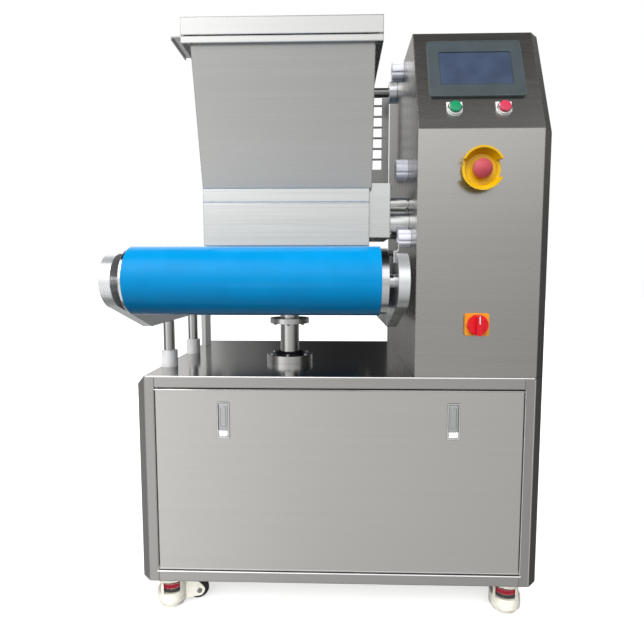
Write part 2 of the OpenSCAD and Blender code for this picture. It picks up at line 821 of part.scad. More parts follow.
// Solid form of the console, set in from its outside, with bevels along its outer front edge
module console_form(inset) difference() {
    along_x(wall_x + inset, cab_w / 2 - inset) polygon(console_side(inset));
    c = leg(inset);
    x = cab_w / 2 - inset;
    translate([0, 0, cab_top - over]) linear_extrude(console_top - cab_top + 2 * over)
        polygon([[x + over, front_y + inset - over], [x - c - over, front_y + inset - over],
                 [x + over, front_y + inset + c + over]]);
    d = c - bevel_step;
    on_slope(x, 0) translate([0, 0, -inset]) along_y(-bevel, slope_l + bevel)
        polygon([[over, over], [-d - over, over], [over, -d - over]]);
}

module console_shell() color("#a09b94") difference() {
    union() {
        difference() {
            console_form(0);
            console_form(sheet_t);
            box([wall_x + sheet_t, back_y - sheet_t - over, cab_top - over],
                [cab_w / 2 - sheet_t, back_y + over, console_top - sheet_t]);
        }
        on_wall(guard_y, guard_z) translate([0, 0, -sheet_t - wall_boss_l])
            cylinder(r = guard_down - sheet_t / 2, h = wall_boss_l + over);
        for (k = knob_spots) on_wall(k[0], k[1]) translate([0, 0, -sheet_t - wall_boss_l])
            cylinder(r = knob_boss_r, h = wall_boss_l + over);
    }
    on_wall(guard_y, guard_z) translate([0, 0, -sheet_t - wall_boss_l - over])
        cylinder(r = guard_rod_r + run_fit, h = wall_boss_l + sheet_t + 2 * over);
    for (k = knob_spots) on_wall(k[0], k[1]) translate([0, 0, -sheet_t - wall_boss_l - over])
        cylinder(r = knob_stud_r + run_fit, h = wall_boss_l + sheet_t + 2 * over);
    on_wall(roller_y[0], roller_z) translate([0, 0, -sheet_t - over])
        cylinder(r = shaft_r + roller_play, h = sheet_t + 2 * over);
    on_slope(control_x, panel_up) translate([0, 0, -sheet_t - over]) linear_extrude(sheet_t + 2 * over)
        square([panel_back_w + 2 * panel_fit, panel_back_h + 2 * panel_fit], center = true);
    for (s = [-1, 1]) on_slope(control_x + s * button_pitch / 2, button_up) translate([0, 0, -sheet_t - over])
        cylinder(r = button_stem_r + panel_fit + run_fit, h = sheet_t + 2 * over);
    on_front(control_x, stop_z) translate([0, 0, -sheet_t - over])
        cylinder(r = stop_stem_r + panel_fit + run_fit, h = sheet_t + 2 * over);
    on_front(control_x, cab_top + switch_up) translate([0, 0, -sheet_t - over])
        cylinder(r = switch_stem_r + panel_fit + run_fit, h = sheet_t + 2 * over);
}

module console_rear_cover() color("#a0a09e") difference() {
    box([wall_x + sheet_t + panel_fit, back_y - sheet_t, cab_top],
        [cab_w / 2 - sheet_t - panel_fit, back_y, console_top - sheet_t - panel_fit]);
    vents(control_x, cab_top + console_front_h / 2);
}

module touch_panel() color("#5a6464") on_slope(control_x, panel_up) difference() {
    union() {
        linear_extrude(panel_proud) soft_square(panel_w, panel_h, panel_round);
        translate([0, 0, -panel_deep]) linear_extrude(panel_deep)
            square([panel_back_w, panel_back_h], center = true);
    }
    translate([0, 0, panel_proud - screen_sink - screen_t]) linear_extrude(screen_sink + screen_t + over)
        square([screen_w + panel_fit, screen_h + panel_fit], center = true);
}

module touch_screen() color("#4a5878") on_slope(control_x, panel_up)
    translate([0, 0, panel_proud - screen_sink - screen_t]) linear_extrude(screen_t)
        square([screen_w, screen_h], center = true);

// Legend plates with the rings that guide the button caps
module button_plates() color("#f0f0ee") union() {
    for (s = [-1, 1]) on_slope(control_x + s * button_pitch / 2, button_up) difference() {
        union() {
            linear_extrude(legend_t) union() {
                circle(legend_w / 2);
                translate([-legend_w / 2, 0]) square([legend_w, legend_w / 2 + legend_t]);
            }
            cylinder(r = button_ring_r, h = legend_t + button_ring_h);
            translate([0, 0, -sheet_t - legend_t])
                cylinder(r = button_stem_r + panel_fit, h = sheet_t + legend_t);
        }
        translate([0, 0, legend_t]) cylinder(r = button_r + move_gap, h = button_ring_h + over);
        translate([0, 0, -sheet_t - legend_t - over])
            cylinder(r = button_stem_r - button_ring_h + run_fit, h = sheet_t + 2 * legend_t + 2 * over);
    }
}

// Button cap on its stem
module button_cap(s) on_slope(control_x + s * button_pitch / 2, button_up) union() {
    translate([0, 0, legend_t + button_travel + move_gap])
        cylinder(r = button_r, h = button_cap_h + button_ring_h - button_travel);
    translate([0, 0, -button_stem_l])
        cylinder(r = button_stem_r - button_ring_h,
                 h = button_stem_l + legend_t + button_travel + button_cap_h / 2);
}

module start_button() color("#149664") button_cap(-1);
module stop_button() color("#d24664") button_cap(1);

// Guard round the stop head: a flared cup, cut low at both sides for the fingers
module stop_guard() color("#f0c814") on_front(control_x, stop_z) difference() {
    union() {
        cylinder(r1 = stop_guard_r, r2 = stop_flare_r, h = stop_guard_h);
        translate([0, 0, -sheet_t - stop_guard_floor])
            cylinder(r = stop_stem_r + panel_fit, h = sheet_t + 2 * stop_guard_floor);
    }
    rise = stop_guard_h - stop_guard_floor;
    translate([0, 0, stop_guard_floor])
        cylinder(r1 = stop_guard_r - stop_guard_wall, r2 = stop_flare_r - stop_guard_wall + over,
                 h = rise + over);
    translate([0, 0, -sheet_t - stop_guard_floor - over])
        cylinder(r = stop_stem_r - stop_bush + run_fit, h = sheet_t + 2 * stop_guard_floor + 2 * over);
    translate([-stop_flare_r - over, -stop_notch_w / 2, stop_guard_floor + stop_notch_up])
        cube([2 * stop_flare_r + 2 * over, stop_notch_w, stop_guard_h]);
}

// Mushroom head on its stem
module stop_head() color("#c8202c") on_front(control_x, stop_z) union() {
    translate([0, 0, -stop_stem_l])
        cylinder(r = stop_stem_r - stop_bush, h = stop_stem_l + stop_guard_floor + stop_neck);
    translate([0, 0, stop_guard_floor + stop_neck - stop_cap_h / 2]) rotate_extrude() intersection() {
        translate([0, stop_cap_h - stop_r * stop_dome_share]) circle(stop_r * stop_dome_share);
        square([stop_r, stop_cap_h]);
    }
    translate([0, 0, stop_guard_floor + stop_travel + move_gap])
        cylinder(r = stop_stem_r, h = stop_neck - stop_travel - move_gap);
}

module switch_plate() color("#f5a01e") on_front(control_x, cab_top + switch_up) difference() {
    linear_extrude(switch_plate_t) soft_square(switch_w, switch_h, switch_round);
    translate([0, 0, -over]) cylinder(r = switch_stem_r + run_fit, h = switch_plate_t + 2 * over);
}

// Main switch knob: disc with an upright grip
module switch_knob() color("#d2141e") on_front(control_x, cab_top + switch_up) union() {
    translate([0, 0, -switch_stem_l])
        cylinder(r = switch_stem_r, h = switch_stem_l + switch_plate_t + move_gap + over);
    translate([0, 0, switch_plate_t + move_gap]) cylinder(r = switch_r, h = switch_disc_h);
    translate([0, 0, switch_plate_t + move_gap]) linear_extrude(switch_disc_h + switch_grip_h)
        soft_square(switch_grip_w, 2 * switch_r, switch_round);
}

// Gear motor on its mounting plate, hollow for the drive shaft
module pump_motor() color("#6e7478") difference() {
    x = wall_x + sheet_t;
    union() {
        translate([x, roller_y[0], roller_z]) rotate([90, 0, 90]) {
            linear_extrude(motor_plate_t) square(motor_plate_w, center = true);
            linear_extrude(motor_plate_t + gearbox_l) soft_square(gearbox_w, gearbox_w, motor_plate_t);
        }
        rod_x(x + motor_plate_t + gearbox_l - over, x + motor_plate_t + gearbox_l + motor_l, motor_r,
              roller_y[0], roller_z);
    }
    rod_x(x - over, shaft_end_x + roller_end_play, shaft_r + run_fit, roller_y[0], roller_z);
    for (k = knob_spots) on_wall(k[0], k[1]) translate([0, 0, -sheet_t - wall_boss_l - over])
        cylinder(r = knob_boss_r + panel_fit, h = wall_boss_l + 2 * over);
}

// Mounting plate with the drives and the controller, on stand-offs at the back of the cabinet
module electrical_panel() color("#d6d6d0") union() {
    y = back_y - sheet_t - panel_stand;
    box([-panel_plate_w / 2, y - sheet_t, panel_plate_z],
        [panel_plate_w / 2, y, panel_plate_z + panel_plate_h]);
    for (x = [panel_stand - panel_plate_w / 2, panel_plate_w / 2 - panel_stand],
         up = [panel_stand, panel_plate_h - panel_stand])
        rod_y(y - sheet_t, back_y - sheet_t, panel_stand_r, x, panel_plate_z + up);
    z = panel_plate_z + drive_up_share * panel_plate_h;
    for (d = drive_shares) translate([(d[0] - drive_mid_share) * panel_plate_w, y - sheet_t - drive_d, z])
        cube([d[1] * panel_plate_w, drive_d, d[2] * panel_plate_h]);
}

// Pump body: block with two roller bores, a throat under the hopper and a chamber over the nozzles
module pump_body() color("#d2d4d4") difference() {
    box([head_x0, head_y0, head_z], [head_x1, head_y1, head_top]);
    for (y = roller_y) {
        rod_x(head_x0 + head_wall, head_x1 + over, roller_r + roller_play, y, roller_z);
        rod_x(head_x0 + roller_end_play, head_x1, journal_r + run_fit, y, roller_z);
    }
    box([head_x0 + head_wall, middle_y - throat_w / 2, roller_z],
        [head_x1 - head_wall, middle_y + throat_w / 2, head_top + over]);
    box([head_x0 + head_wall, middle_y - chamber_w / 2, head_z + chamber_floor],
        [head_x1 - head_wall, middle_y + chamber_w / 2, roller_z]);
    box([head_x0 + head_wall - pocket_fit, middle_y - nozzle_plate_w / 2 - pocket_fit, head_z - over],
        [head_x1 - head_wall + pocket_fit, middle_y + nozzle_plate_w / 2 + pocket_fit,
         head_z + nozzle_plate_t]);
    for (x = nozzle_x) translate([x, middle_y, head_z]) cylinder(r = outlet_r, h = chamber_floor + over);
    box([head_x0 - over, head_y0 - over, head_z + groove_up],
        [head_x1 + over, head_y0 + groove_deep, head_z + groove_up + groove_w]);
}

// Gear housing at the driven end, with the two bosses that hang the head on the console
module gear_housing() color("#dcdedf") difference() {
    union() {
        box([head_x1, housing_y0, housing_z0], [housing_x1, housing_y1, housing_z1]);
        for (y = boss_y) rod_x(housing_x1 - housing_l / 2, wall_x, boss_r, y, head_z + boss_up);
    }
    for (y = roller_y) {
        rod_x(head_x1 + bearing_wall, housing_x1 - housing_wall, gear_out_r + gear_play, y, roller_z);
        rod_x(head_x1 - over, head_x1 + bearing_wall + over, journal_r + run_fit, y, roller_z);
    }
    rod_x(housing_x1 - housing_wall - over, wall_x + over, shaft_r + run_fit, roller_y[0], roller_z);
    box([head_x1 - over, housing_y0 - over, head_top],
        [hopper_x1 + panel_fit, housing_y1 + over, housing_z1 + over]);
}

// Fluted feed roller with its journals and its gear
module feed_roller(y, turn) union() {
    difference() {
        rod_x(head_x0 + head_wall + roller_end_play, head_x1 - roller_end_play, roller_r, y, roller_z);
        for (i = [0 : flutes - 1]) rod_x(head_x0, head_x1 + over, flute_r,
            y + roller_r * cos(i * 360 / flutes), roller_z + roller_r * sin(i * 360 / flutes));
    }
    rod_x(head_x0 + 2 * roller_end_play, housing_x1 - housing_wall - roller_end_play, journal_r, y, roller_z);
    gear_x = head_x1 + bearing_wall + gear_play;
    translate([gear_x, y, roller_z]) rotate([90, 0, 90]) linear_extrude(gear_w) polygon(gear_outline(turn));
}

// Driven roller, with the drive shaft and the coupling sleeve that shows beside the console
module feed_roller_front() color("#c4c8ca") union() {
    feed_roller(roller_y[0], 0);
    rod_x(housing_x1 - housing_wall - 2 * roller_end_play, shaft_end_x, shaft_r, roller_y[0], roller_z);
    rod_x(housing_x1 + coupling_end_gap, wall_x - coupling_end_gap, coupling_r, roller_y[0], roller_z);
}

module feed_roller_rear() color("#c4c8ca") feed_roller(roller_y[1], 180 / gear_teeth);

// Nozzle plate with a row of tapered nozzles, each with a star opening
module nozzle_plate() color("#d6d8d8") difference() {
    union() {
        box([head_x0 + head_wall, middle_y - nozzle_plate_w / 2, head_z],
            [head_x1 - head_wall, middle_y + nozzle_plate_w / 2, head_z + nozzle_plate_t]);
        for (x = nozzle_x) translate([x, middle_y, head_z - nozzle_out])
            cylinder(r1 = nozzle_tip_r, r2 = nozzle_r, h = nozzle_out);
    }
    for (x = nozzle_x) translate([x, middle_y, head_z - nozzle_out]) {
        translate([0, 0, nozzle_tip_t]) cylinder(r = nozzle_bore_r, h = nozzle_out + nozzle_plate_t);
        translate([0, 0, -over]) linear_extrude(nozzle_tip_t + 2 * over) polygon(star_outline(star_r));
    }
}

// Side outline of the hopper, set in from its outside and drawn past both ends
function hopper_side(inset, past) = [
    [head_y0 + inset + hopper_lean * past / hopper_h, head_top - past],
    [mouth_y0 + inset - hopper_lean * past / hopper_h, hopper_top + past],
    [hopper_y1 - inset, hopper_top + past], [hopper_y1 - inset, head_top - past]];

// Folded hopper: leaning front, rolled rim, hinge knuckles behind and a lifting tab at the left
module hopper() color("#c2c2bf") difference() {
    union() {
        along_x(hopper_x0, hopper_x1) polygon(hopper_side(0, 0));
        difference() {
            box([hopper_x0 - rim_over, mouth_y0 - rim_over, hopper_top - rim_h],
                [hopper_x1 + rim_over, hopper_y1 + rim_over, hopper_top]);
            box([hopper_x0 - rim_over + hopper_t, mouth_y0 - rim_over + hopper_t, hopper_top - rim_h - over],
                [hopper_x1 + rim_over - hopper_t, hopper_y1 + rim_over - hopper_t, hopper_top - hopper_t]);
        }
        box([hopper_x0 - rim_over - tab_w, mouth_y0 - rim_over, hopper_top - hopper_t],
            [hopper_x0 - rim_over + over, mouth_y0 - rim_over + tab_l, hopper_top]);
        box([hopper_x0 - rim_over - tab_w, mouth_y0 - rim_over, hopper_top - rim_h / 2],
            [hopper_x0 - rim_over - tab_w + hopper_t, mouth_y0 - rim_over + tab_l, hopper_top]);
        for (x = [hopper_x0 + knuckle_in, hopper_x1 - knuckle_in]) {
            rod_x(x - knuckle_l / 2, x + knuckle_l / 2, knuckle_r, lid_pivot_y, lid_pivot_z);
            box([x - knuckle_l / 2, hopper_y1 + rim_over - hopper_t, hopper_top - rim_h],
                [x + knuckle_l / 2, lid_pivot_y, hopper_top]);
        }
    }
    along_x(hopper_x0 + hopper_t, hopper_x1 - hopper_t) polygon(hopper_side(hopper_t, over));
    for (x = [hopper_x0 + knuckle_in, hopper_x1 - knuckle_in])
        rod_x(x - knuckle_l, x + knuckle_l, lid_pin_r + run_fit, lid_pivot_y, lid_pivot_z);
}

// Folded lid with hinge arms and pins at the back, on two rests in front
module hopper_lid() color("#c6c6c3") union() {
    difference() {
        box([hopper_x0 - rim_over, mouth_y0 - rim_over, hopper_top + lid_gap],
            [hopper_x1 + rim_over, hopper_y1 + rim_over, hopper_top + lid_gap + lid_h]);
        box([hopper_x0 - rim_over + hopper_t, mouth_y0 - rim_over + hopper_t, hopper_top + lid_gap - over],
            [hopper_x1 + rim_over - hopper_t, hopper_y1 + rim_over - hopper_t,
             hopper_top + lid_gap + lid_h - hopper_t]);
    }
    for (x = [hopper_x0 - rim_over + lid_rest_r + over, hopper_x1 + rim_over - lid_rest_r - over])
        translate([x, mouth_y0 - rim_over + lid_rest_r + over, hopper_top + move_gap])
            cylinder(r = lid_rest_r, h = lid_gap - move_gap + over);
    for (x = [hopper_x0 + knuckle_in, hopper_x1 - knuckle_in]) {
        rod_x(x - knuckle_l, x + knuckle_l, lid_pin_r, lid_pivot_y, lid_pivot_z);
        for (s = [-1, 1]) translate([x + s * (knuckle_l / 2 + move_gap + arm_l / 2) - arm_l / 2, 0, 0]) {
            rod_x(0, arm_l, knuckle_r, lid_pivot_y, lid_pivot_z);
            box([0, hopper_y1 + rim_over - hopper_t, lid_pivot_z],
                [arm_l, lid_pivot_y, lid_pivot_z + knuckle_r]);
        }
    }
}

// Swinging rear guard: pivot rod with a collar, two flat stiles, thin bars and a box bar at the foot
module rear_guard() color("#b0b2b2") union() {
    rod_x(guard_x0, wall_x + sheet_t + wall_boss_l, guard_rod_r, guard_y, guard_z);
    rod_x(wall_x - move_gap - collar_l, wall_x - move_gap, collar_r, guard_y, guard_z);
    for (x = [guard_x0, guard_x1 - guard_stile_w])
        box([x, guard_y - guard_stile_t / 2, guard_foot_z],
            [x + guard_stile_w, guard_y + guard_stile_t / 2, guard_z]);
    for (i = [0 : guard_bars - 1])
        rod_x(guard_x0 + guard_stile_w / 2, guard_x1 - guard_stile_w / 2, guard_bar_r, guard_y,
              guard_z - guard_first - i * guard_pitch);
    box([guard_x0, guard_y - guard_foot_d / 2, guard_foot_z],
        [guard_x1, guard_y + guard_foot_d / 2, guard_foot_z + guard_foot_h]);
}

// White hand knob with a scalloped rim, on a stud that runs in the console's wall boss
module hand_knob(k) color("#f2f2f6") on_wall(k[0], k[1]) union() {
    translate([0, 0, move_gap]) difference() {
        cylinder(r = k[2], h = knob_l);
        for (i = [0 : knob_lobes - 1]) rotate([0, 0, (2 * i + 1) * 180 / knob_lobes])
            translate([k[2] + knob_lobe_r / 2, 0, -over]) cylinder(r = knob_lobe_r, h = knob_l + 2 * over);
        translate([0, 0, knob_l - knob_lobe_r / 2]) cylinder(r = k[2] * knob_hub_share, h = knob_lobe_r);
    }
    translate([0, 0, -sheet_t - knob_stud_l]) cylinder(r = knob_stud_r, h = sheet_t + knob_stud_l + over);
}

module hand_knob_upper() hand_knob(knob_spots[0]);
module hand_knob_middle() hand_knob(knob_spots[1]);
module hand_knob_lower() hand_knob(knob_spots[2]);

// Side plate: rounded ends round the drum axes, with a deeper middle
module table_plate(x) difference() {
    corner = [plate_corner_y, plate_z0];
    low = touch([drum_y, drum_z], plate_end_r - tangent_in, corner, 1);
    half = [[drum_y, drum_z + plate_end_r - tangent_in], [drum_y, drum_z], low, corner];
    union() {
        for (s = [-1, 1]) rod_x(x, x + plate_t, plate_end_r, s * drum_y, drum_z);
        along_x(x, x + plate_t) polygon(concat(half, [for (i = [3 : -1 : 0]) [-half[i][0], half[i][1]]]));
    }
    for (s = [-1, 1]) rod_x(x - over, x + plate_t + over, axle_r + run_fit, s * drum_y, drum_z);
}

module table_plate_left() color("#c8caca") table_plate(plate_x[0]);
module table_plate_right() color("#c8caca") table_plate(plate_x[1]);

// Drum: tube with end discs on an axle that runs in both side plates
module drum(y) color("#d0d2d2") union() {
    difference() {
        rod_x(drum_x[0], drum_x[1], drum_r, y, drum_z);
        rod_x(drum_x[0] + drum_end_t, drum_x[1] - drum_end_t, drum_r - drum_wall, y, drum_z);
    }
    rod_x(plate_x[0] - axle_nub, plate_x[1] + plate_t + axle_nub, axle_r, y, drum_z);
}

module front_drum() drum(-drum_y);
module rear_drum() drum(drum_y);

// Loop round both drums at a given radius
module loop_outline(r) union() {
    for (s = [-1, 1]) translate([s * drum_y, drum_z]) circle(r);
    translate([-drum_y, drum_z - r]) square([2 * drum_y, 2 * r]);
}

module belt() color("#0a8ce0") along_x(belt_x[0], belt_x[1]) difference() {
    loop_outline(belt_out_r);
    loop_outline(belt_in_r);
}

// Slider bed under the belt's upper run, on square tubes between the side plates
module slider_bed() color("#b8baba") union() {
    box([plate_x[0] + plate_t, -bed_y, bed_z1 - bed_t], [plate_x[1], bed_y, bed_z1]);
    for (s = [-1, 0, 1]) difference() {
        box([plate_x[0] + plate_t, s * tube_y - tube_w / 2, bed_z1 - bed_t - tube_w],
            [plate_x[1], s * tube_y + tube_w / 2, bed_z1 - bed_t]);
        box([plate_x[0], s * tube_y - tube_w / 2 + sheet_t, bed_z1 - bed_t - tube_w + sheet_t],
            [plate_x[1] + plate_t, s * tube_y + tube_w / 2 - sheet_t, bed_z1 - bed_t - sheet_t]);
    }
}

// Lift ram with its flange, and above it the cross beam that carries both side plates
module lift_column() color("#c6c8c8") union() {
    box([plate_x[0] + plate_t, column_y - beam_d / 2, beam_z],
        [plate_x[1], column_y + beam_d / 2, beam_z + beam_t]);
    translate([column_x, column_y, plate_z0 - head_flange_t]) cylinder(r = head_flange_r, h = head_flange_t);
    translate([column_x, column_y, plate_z0 - ram_l])
        cylinder(r = column_r, h = ram_l + beam_z + beam_t - plate_z0);
}

// Lift housing: flange on the cabinet's top plate, with the screw tube below it
module lift_housing() color("#b4b6b6") translate([column_x, column_y, cab_top]) difference() {
    union() {
        cylinder(r = flange_r, h = flange_t);
        translate([0, 0, -lift_l]) cylinder(r = lift_r, h = lift_l);
    }
    translate([0, 0, -lift_l + lift_floor]) cylinder(r = column_r + run_fit, h = lift_l + flange_t);
}

// Two guide rods and the flat limit bar under the left side plate
module guide_rods() color("#ccd0d0") union() {
    for (y = guide_y) translate([guide_x, y, plate_z0 - guide_l]) cylinder(r = guide_r, h = guide_l);
    box([guide_x - bar_t / 2, bar_y - bar_d / 2, plate_z0 - bar_l],
        [guide_x + bar_t / 2, bar_y + bar_d / 2, plate_z0]);
}

module guide_bushes() color("#f4f4f2") union() {
    for (y = guide_y) translate([guide_x, y, cab_top]) difference() {
        union() {
            cylinder(r = bush_r, h = bush_h);
            translate([0, 0, -bush_low_l]) cylinder(r = bush_low_r, h = bush_low_l + over);
        }
        translate([0, 0, -bush_low_l - over])
            cylinder(r = guide_r + run_fit, h = bush_low_l + bush_h + 2 * over);
    }
}

left_side_panel();
right_side_panel();
front_top_rail();
front_bottom_rail();
floor_plate();
rear_panel();
top_plate();
front_door();
latch_frames();
latch_lever(-latch_x);  // latch_lever_left
latch_lever(latch_x);  // latch_lever_right
latch_button(-latch_x);  // latch_button_left
latch_button(latch_x);  // latch_button_right
caster_plates();
for (i = [0 : 3]) {
    caster_body(i);
    caster_wheel(i);
    caster_foot(i);
}
console_shell();
console_rear_cover();
touch_panel();
touch_screen();
button_plates();
start_button();
stop_button();
stop_guard();
stop_head();
switch_plate();
switch_knob();
pump_motor();
electrical_panel();
pump_body();
gear_housing();
feed_roller_front();
feed_roller_rear();
nozzle_plate();
hopper();
hopper_lid();
rear_guard();
hand_knob_upper();
hand_knob_middle();
hand_knob_lower();
table_plate_left();
table_plate_right();
front_drum();
rear_drum();
belt();
slider_bed();
lift_column();
lift_housing();
guide_rods();
guide_bushes();
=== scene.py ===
import bpy, bmesh, json, math
from mathutils import Matrix, Vector


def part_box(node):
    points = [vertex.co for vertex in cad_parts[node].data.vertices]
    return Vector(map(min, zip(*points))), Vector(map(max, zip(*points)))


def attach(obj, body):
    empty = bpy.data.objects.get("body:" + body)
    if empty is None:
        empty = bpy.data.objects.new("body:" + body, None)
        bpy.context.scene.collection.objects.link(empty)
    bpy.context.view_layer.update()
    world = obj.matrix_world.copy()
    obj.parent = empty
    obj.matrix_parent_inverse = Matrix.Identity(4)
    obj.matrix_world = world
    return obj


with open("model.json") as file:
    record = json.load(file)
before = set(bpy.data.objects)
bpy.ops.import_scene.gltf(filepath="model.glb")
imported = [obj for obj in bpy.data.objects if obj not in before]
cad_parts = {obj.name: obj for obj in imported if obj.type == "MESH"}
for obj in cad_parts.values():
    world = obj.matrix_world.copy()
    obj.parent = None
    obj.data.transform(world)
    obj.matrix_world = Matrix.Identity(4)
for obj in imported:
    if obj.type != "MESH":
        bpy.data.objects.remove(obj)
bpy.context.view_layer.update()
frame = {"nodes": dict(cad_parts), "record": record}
scene = bpy.context.scene
nodes = frame["nodes"]
joints = {joint["name"]: joint for joint in frame["record"]["behaviour"]["joints"]}
mm = 0.001
print("depositor: frame loaded,", len(nodes), "nodes")

# camera: stands a little left of the middle and looks slightly down, as in the photograph
view = {"place": (-0.0045, -1.3616, 0.785), "down": 4.953, "left": 1.607, "lens": 27.85, "sensor": 36,
        "clip": (0.02, 60)}
camData = bpy.data.cameras.new("view")
camData.sensor_width, camData.lens = view["sensor"], view["lens"]
camData.clip_start, camData.clip_end = view["clip"]
cam = bpy.data.objects.new("view", camData)
scene.collection.objects.link(cam)
cam.location = view["place"]
cam.rotation_euler = (math.radians(90 - view["down"]), 0, math.radians(view["left"]))
scene.camera = cam


# places in mm, read from the frame
def corners(name):
    low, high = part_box(name)
    return Vector(low) / mm, Vector(high) / mm


def middle(name):
    low, high = corners(name)
    return (low + high) / 2


def pivot(name):
    return Vector(joints[name]["pos_m"]) / mm


# where a joint's axis meets the upright plane at x
def pivotAt(name, x):
    spot = pivot(name)
    spot.x = x
    return spot


def linear(hexColour):
    parts = [int(hexColour[i:i + 2], 16) / 255 for i in (1, 3, 5)]
    return tuple(c / 12.92 if c <= 0.04045 else ((c + 0.055) / 1.055) ** 2.4 for c in parts) + (1,)


def addNode(tree, kind, inputs=None, **settings):
    node = tree.nodes.new(kind)
    for key, value in settings.items():
        setattr(node, key, value)
    for key, value in (inputs or {}).items():
        if isinstance(value, bpy.types.NodeSocket):
            tree.links.new(value, node.inputs[key])
        else:
            node.inputs[key].default_value = value
    return node


def newFinish(name, colour, metallic, roughness, **sockets):
    finish = bpy.data.materials.new(name)
    finish.use_nodes = True
    shader = finish.node_tree.nodes["Principled BSDF"]
    shader.inputs["Base Color"].default_value = linear(colour)
    shader.inputs["Metallic"].default_value = metallic
    shader.inputs["Roughness"].default_value = roughness
    for key, value in sockets.items():
        shader.inputs[key.replace("_", " ")].default_value = value
    return finish, finish.node_tree, shader


# most of a noise lies between these two levels, which are stretched to the wanted range
noiseSpan = (0.3, 0.7)


def spread(tree, factor, low, high):
    ramp = addNode(tree, "ShaderNodeMapRange", {"Value": factor, "From Min": noiseSpan[0],
                                                "From Max": noiseSpan[1], "To Min": low, "To Max": high})
    return ramp.outputs["Result"]


# colour and roughness follow a pattern, the bump follows a finer one over softened edges
def dress(tree, shader, colour, pattern, shade, roughness, swing, height, lift, depth, edge):
    base = linear(colour)[:3]
    dark, light = [tuple(min(1, c * k) for c in base) + (1,) for k in (1 - shade, 1 + shade)]
    tint = addNode(tree, "ShaderNodeMix", {0: spread(tree, pattern, 0, 1), 6: dark, 7: light},
                   data_type="RGBA")
    tree.links.new(tint.outputs[2], shader.inputs["Base Color"])
    tree.links.new(spread(tree, pattern, roughness - swing, roughness + swing), shader.inputs["Roughness"])
    soft = addNode(tree, "ShaderNodeBevel", {"Radius": edge * mm}, samples=4)
    bump = addNode(tree, "ShaderNodeBump", {"Height": height, "Strength": lift, "Distance": depth * mm,
                                            "Normal": soft.outputs[0]})
    tree.links.new(bump.outputs[0], shader.inputs["Normal"])


# brushed stainless sheet: fine scratches in broader streaks that draw the highlights out along them
brushed = {"lineLength": 260, "lineWidth": 1.5, "lineDetail": 3.0, "streakLength": 1100, "streakWidth": 16,
           "streakDetail": 2.0, "cloud": 260, "cloudShare": 0.35, "broadShare": 0.5, "lift": 0.018,
           "depth": 0.2, "edge": 3.4}


def brushedSteel(name, colour, roughness, along="X", swing=0.03, shade=0.03):
    finish, tree, shader = newFinish(name, colour, 1.0, roughness)
    place = addNode(tree, "ShaderNodeTexCoord").outputs["Object"]
    facing = addNode(tree, "ShaderNodeSeparateXYZ",
                     {"Vector": addNode(tree, "ShaderNodeNewGeometry").outputs["Normal"]})
    side = addNode(tree, "ShaderNodeMath", {0: facing.outputs["X"]}, operation="ABSOLUTE").outputs[0]

    # lines run along one axis, and upright on the faces that look sideways; both are drawn wider than
    # real grit lines, so that they show
    def lines(length, width, detail):
        slow, fine = 1 / (length * mm), 1 / (width * mm)
        ways = {"X": (slow, fine, fine), "Z": (fine, fine, slow)}
        drawn = []
        for axis in (along, "Z"):
            spot = addNode(tree, "ShaderNodeMapping", {"Vector": place, "Scale": ways[axis]}).outputs[0]
            drawn.append(addNode(tree, "ShaderNodeTexNoise",
                                 {"Vector": spot, "Scale": 1.0, "Detail": detail}))
        return addNode(tree, "ShaderNodeMix", {0: side, 2: drawn[0].outputs["Fac"],
                                               3: drawn[1].outputs["Fac"]}).outputs[0]

    grain = lines(brushed["lineLength"], brushed["lineWidth"], brushed["lineDetail"])
    streak = lines(brushed["streakLength"], brushed["streakWidth"], brushed["streakDetail"])
    cloud = addNode(tree, "ShaderNodeTexNoise", {"Vector": place, "Scale": 1 / (brushed["cloud"] * mm)})
    broad = addNode(tree, "ShaderNodeMix", {0: brushed["cloudShare"], 2: streak,
                                            3: cloud.outputs["Fac"]}).outputs[0]
    both = addNode(tree, "ShaderNodeMix", {0: brushed["broadShare"], 2: grain, 3: broad}).outputs[0]
    dress(tree, shader, colour, both, shade, roughness, swing, grain, brushed["lift"], brushed["depth"],
          brushed["edge"])
    return finish


# milled, turned and ground metal: a smoother skin with faint tool marks
machined = {"mark": 1.6, "cloud": 90, "cloudShare": 0.75, "lift": 0.012, "depth": 0.1, "edge": 0.8}


def machinedMetal(name, colour, roughness, swing=0.05, shade=0.04, metallic=1.0):
    finish, tree, shader = newFinish(name, colour, metallic, roughness)
    place = addNode(tree, "ShaderNodeTexCoord").outputs["Object"]
    mark = addNode(tree, "ShaderNodeTexNoise", {"Vector": place, "Scale": 1 / (machined["mark"] * mm)})
    cloud = addNode(tree, "ShaderNodeTexNoise", {"Vector": place, "Scale": 1 / (machined["cloud"] * mm)})
    both = addNode(tree, "ShaderNodeMix", {0: machined["cloudShare"], 2: mark.outputs["Fac"],
                                           3: cloud.outputs["Fac"]}).outputs[0]
    dress(tree, shader, colour, both, shade, roughness, swing, mark.outputs["Fac"], machined["lift"],
          machined["depth"], machined["edge"])
    return finish


# moulded plastic, rubber and paint: fine spark-eroded grain, a little uneven in colour
moulded = {"cloud": 40, "swing": 0.04, "depth": 0.1, "edge": 0.8}


def mouldedPlastic(name, colour, roughness, grain=0.8, lift=0.08, shade=0.04, **sockets):
    finish, tree, shader = newFinish(name, colour, 0.0, roughness, **sockets)
    place = addNode(tree, "ShaderNodeTexCoord").outputs["Object"]
    pits = addNode(tree, "ShaderNodeTexNoise", {"Vector": place, "Scale": 1 / (grain * mm)})
    cloud = addNode(tree, "ShaderNodeTexNoise", {"Vector": place, "Scale": 1 / (moulded["cloud"] * mm)})
    dress(tree, shader, colour, cloud.outputs["Fac"], shade, roughness, moulded["swing"],
          pits.outputs["Fac"], lift, moulded["depth"], moulded["edge"])
    return finish


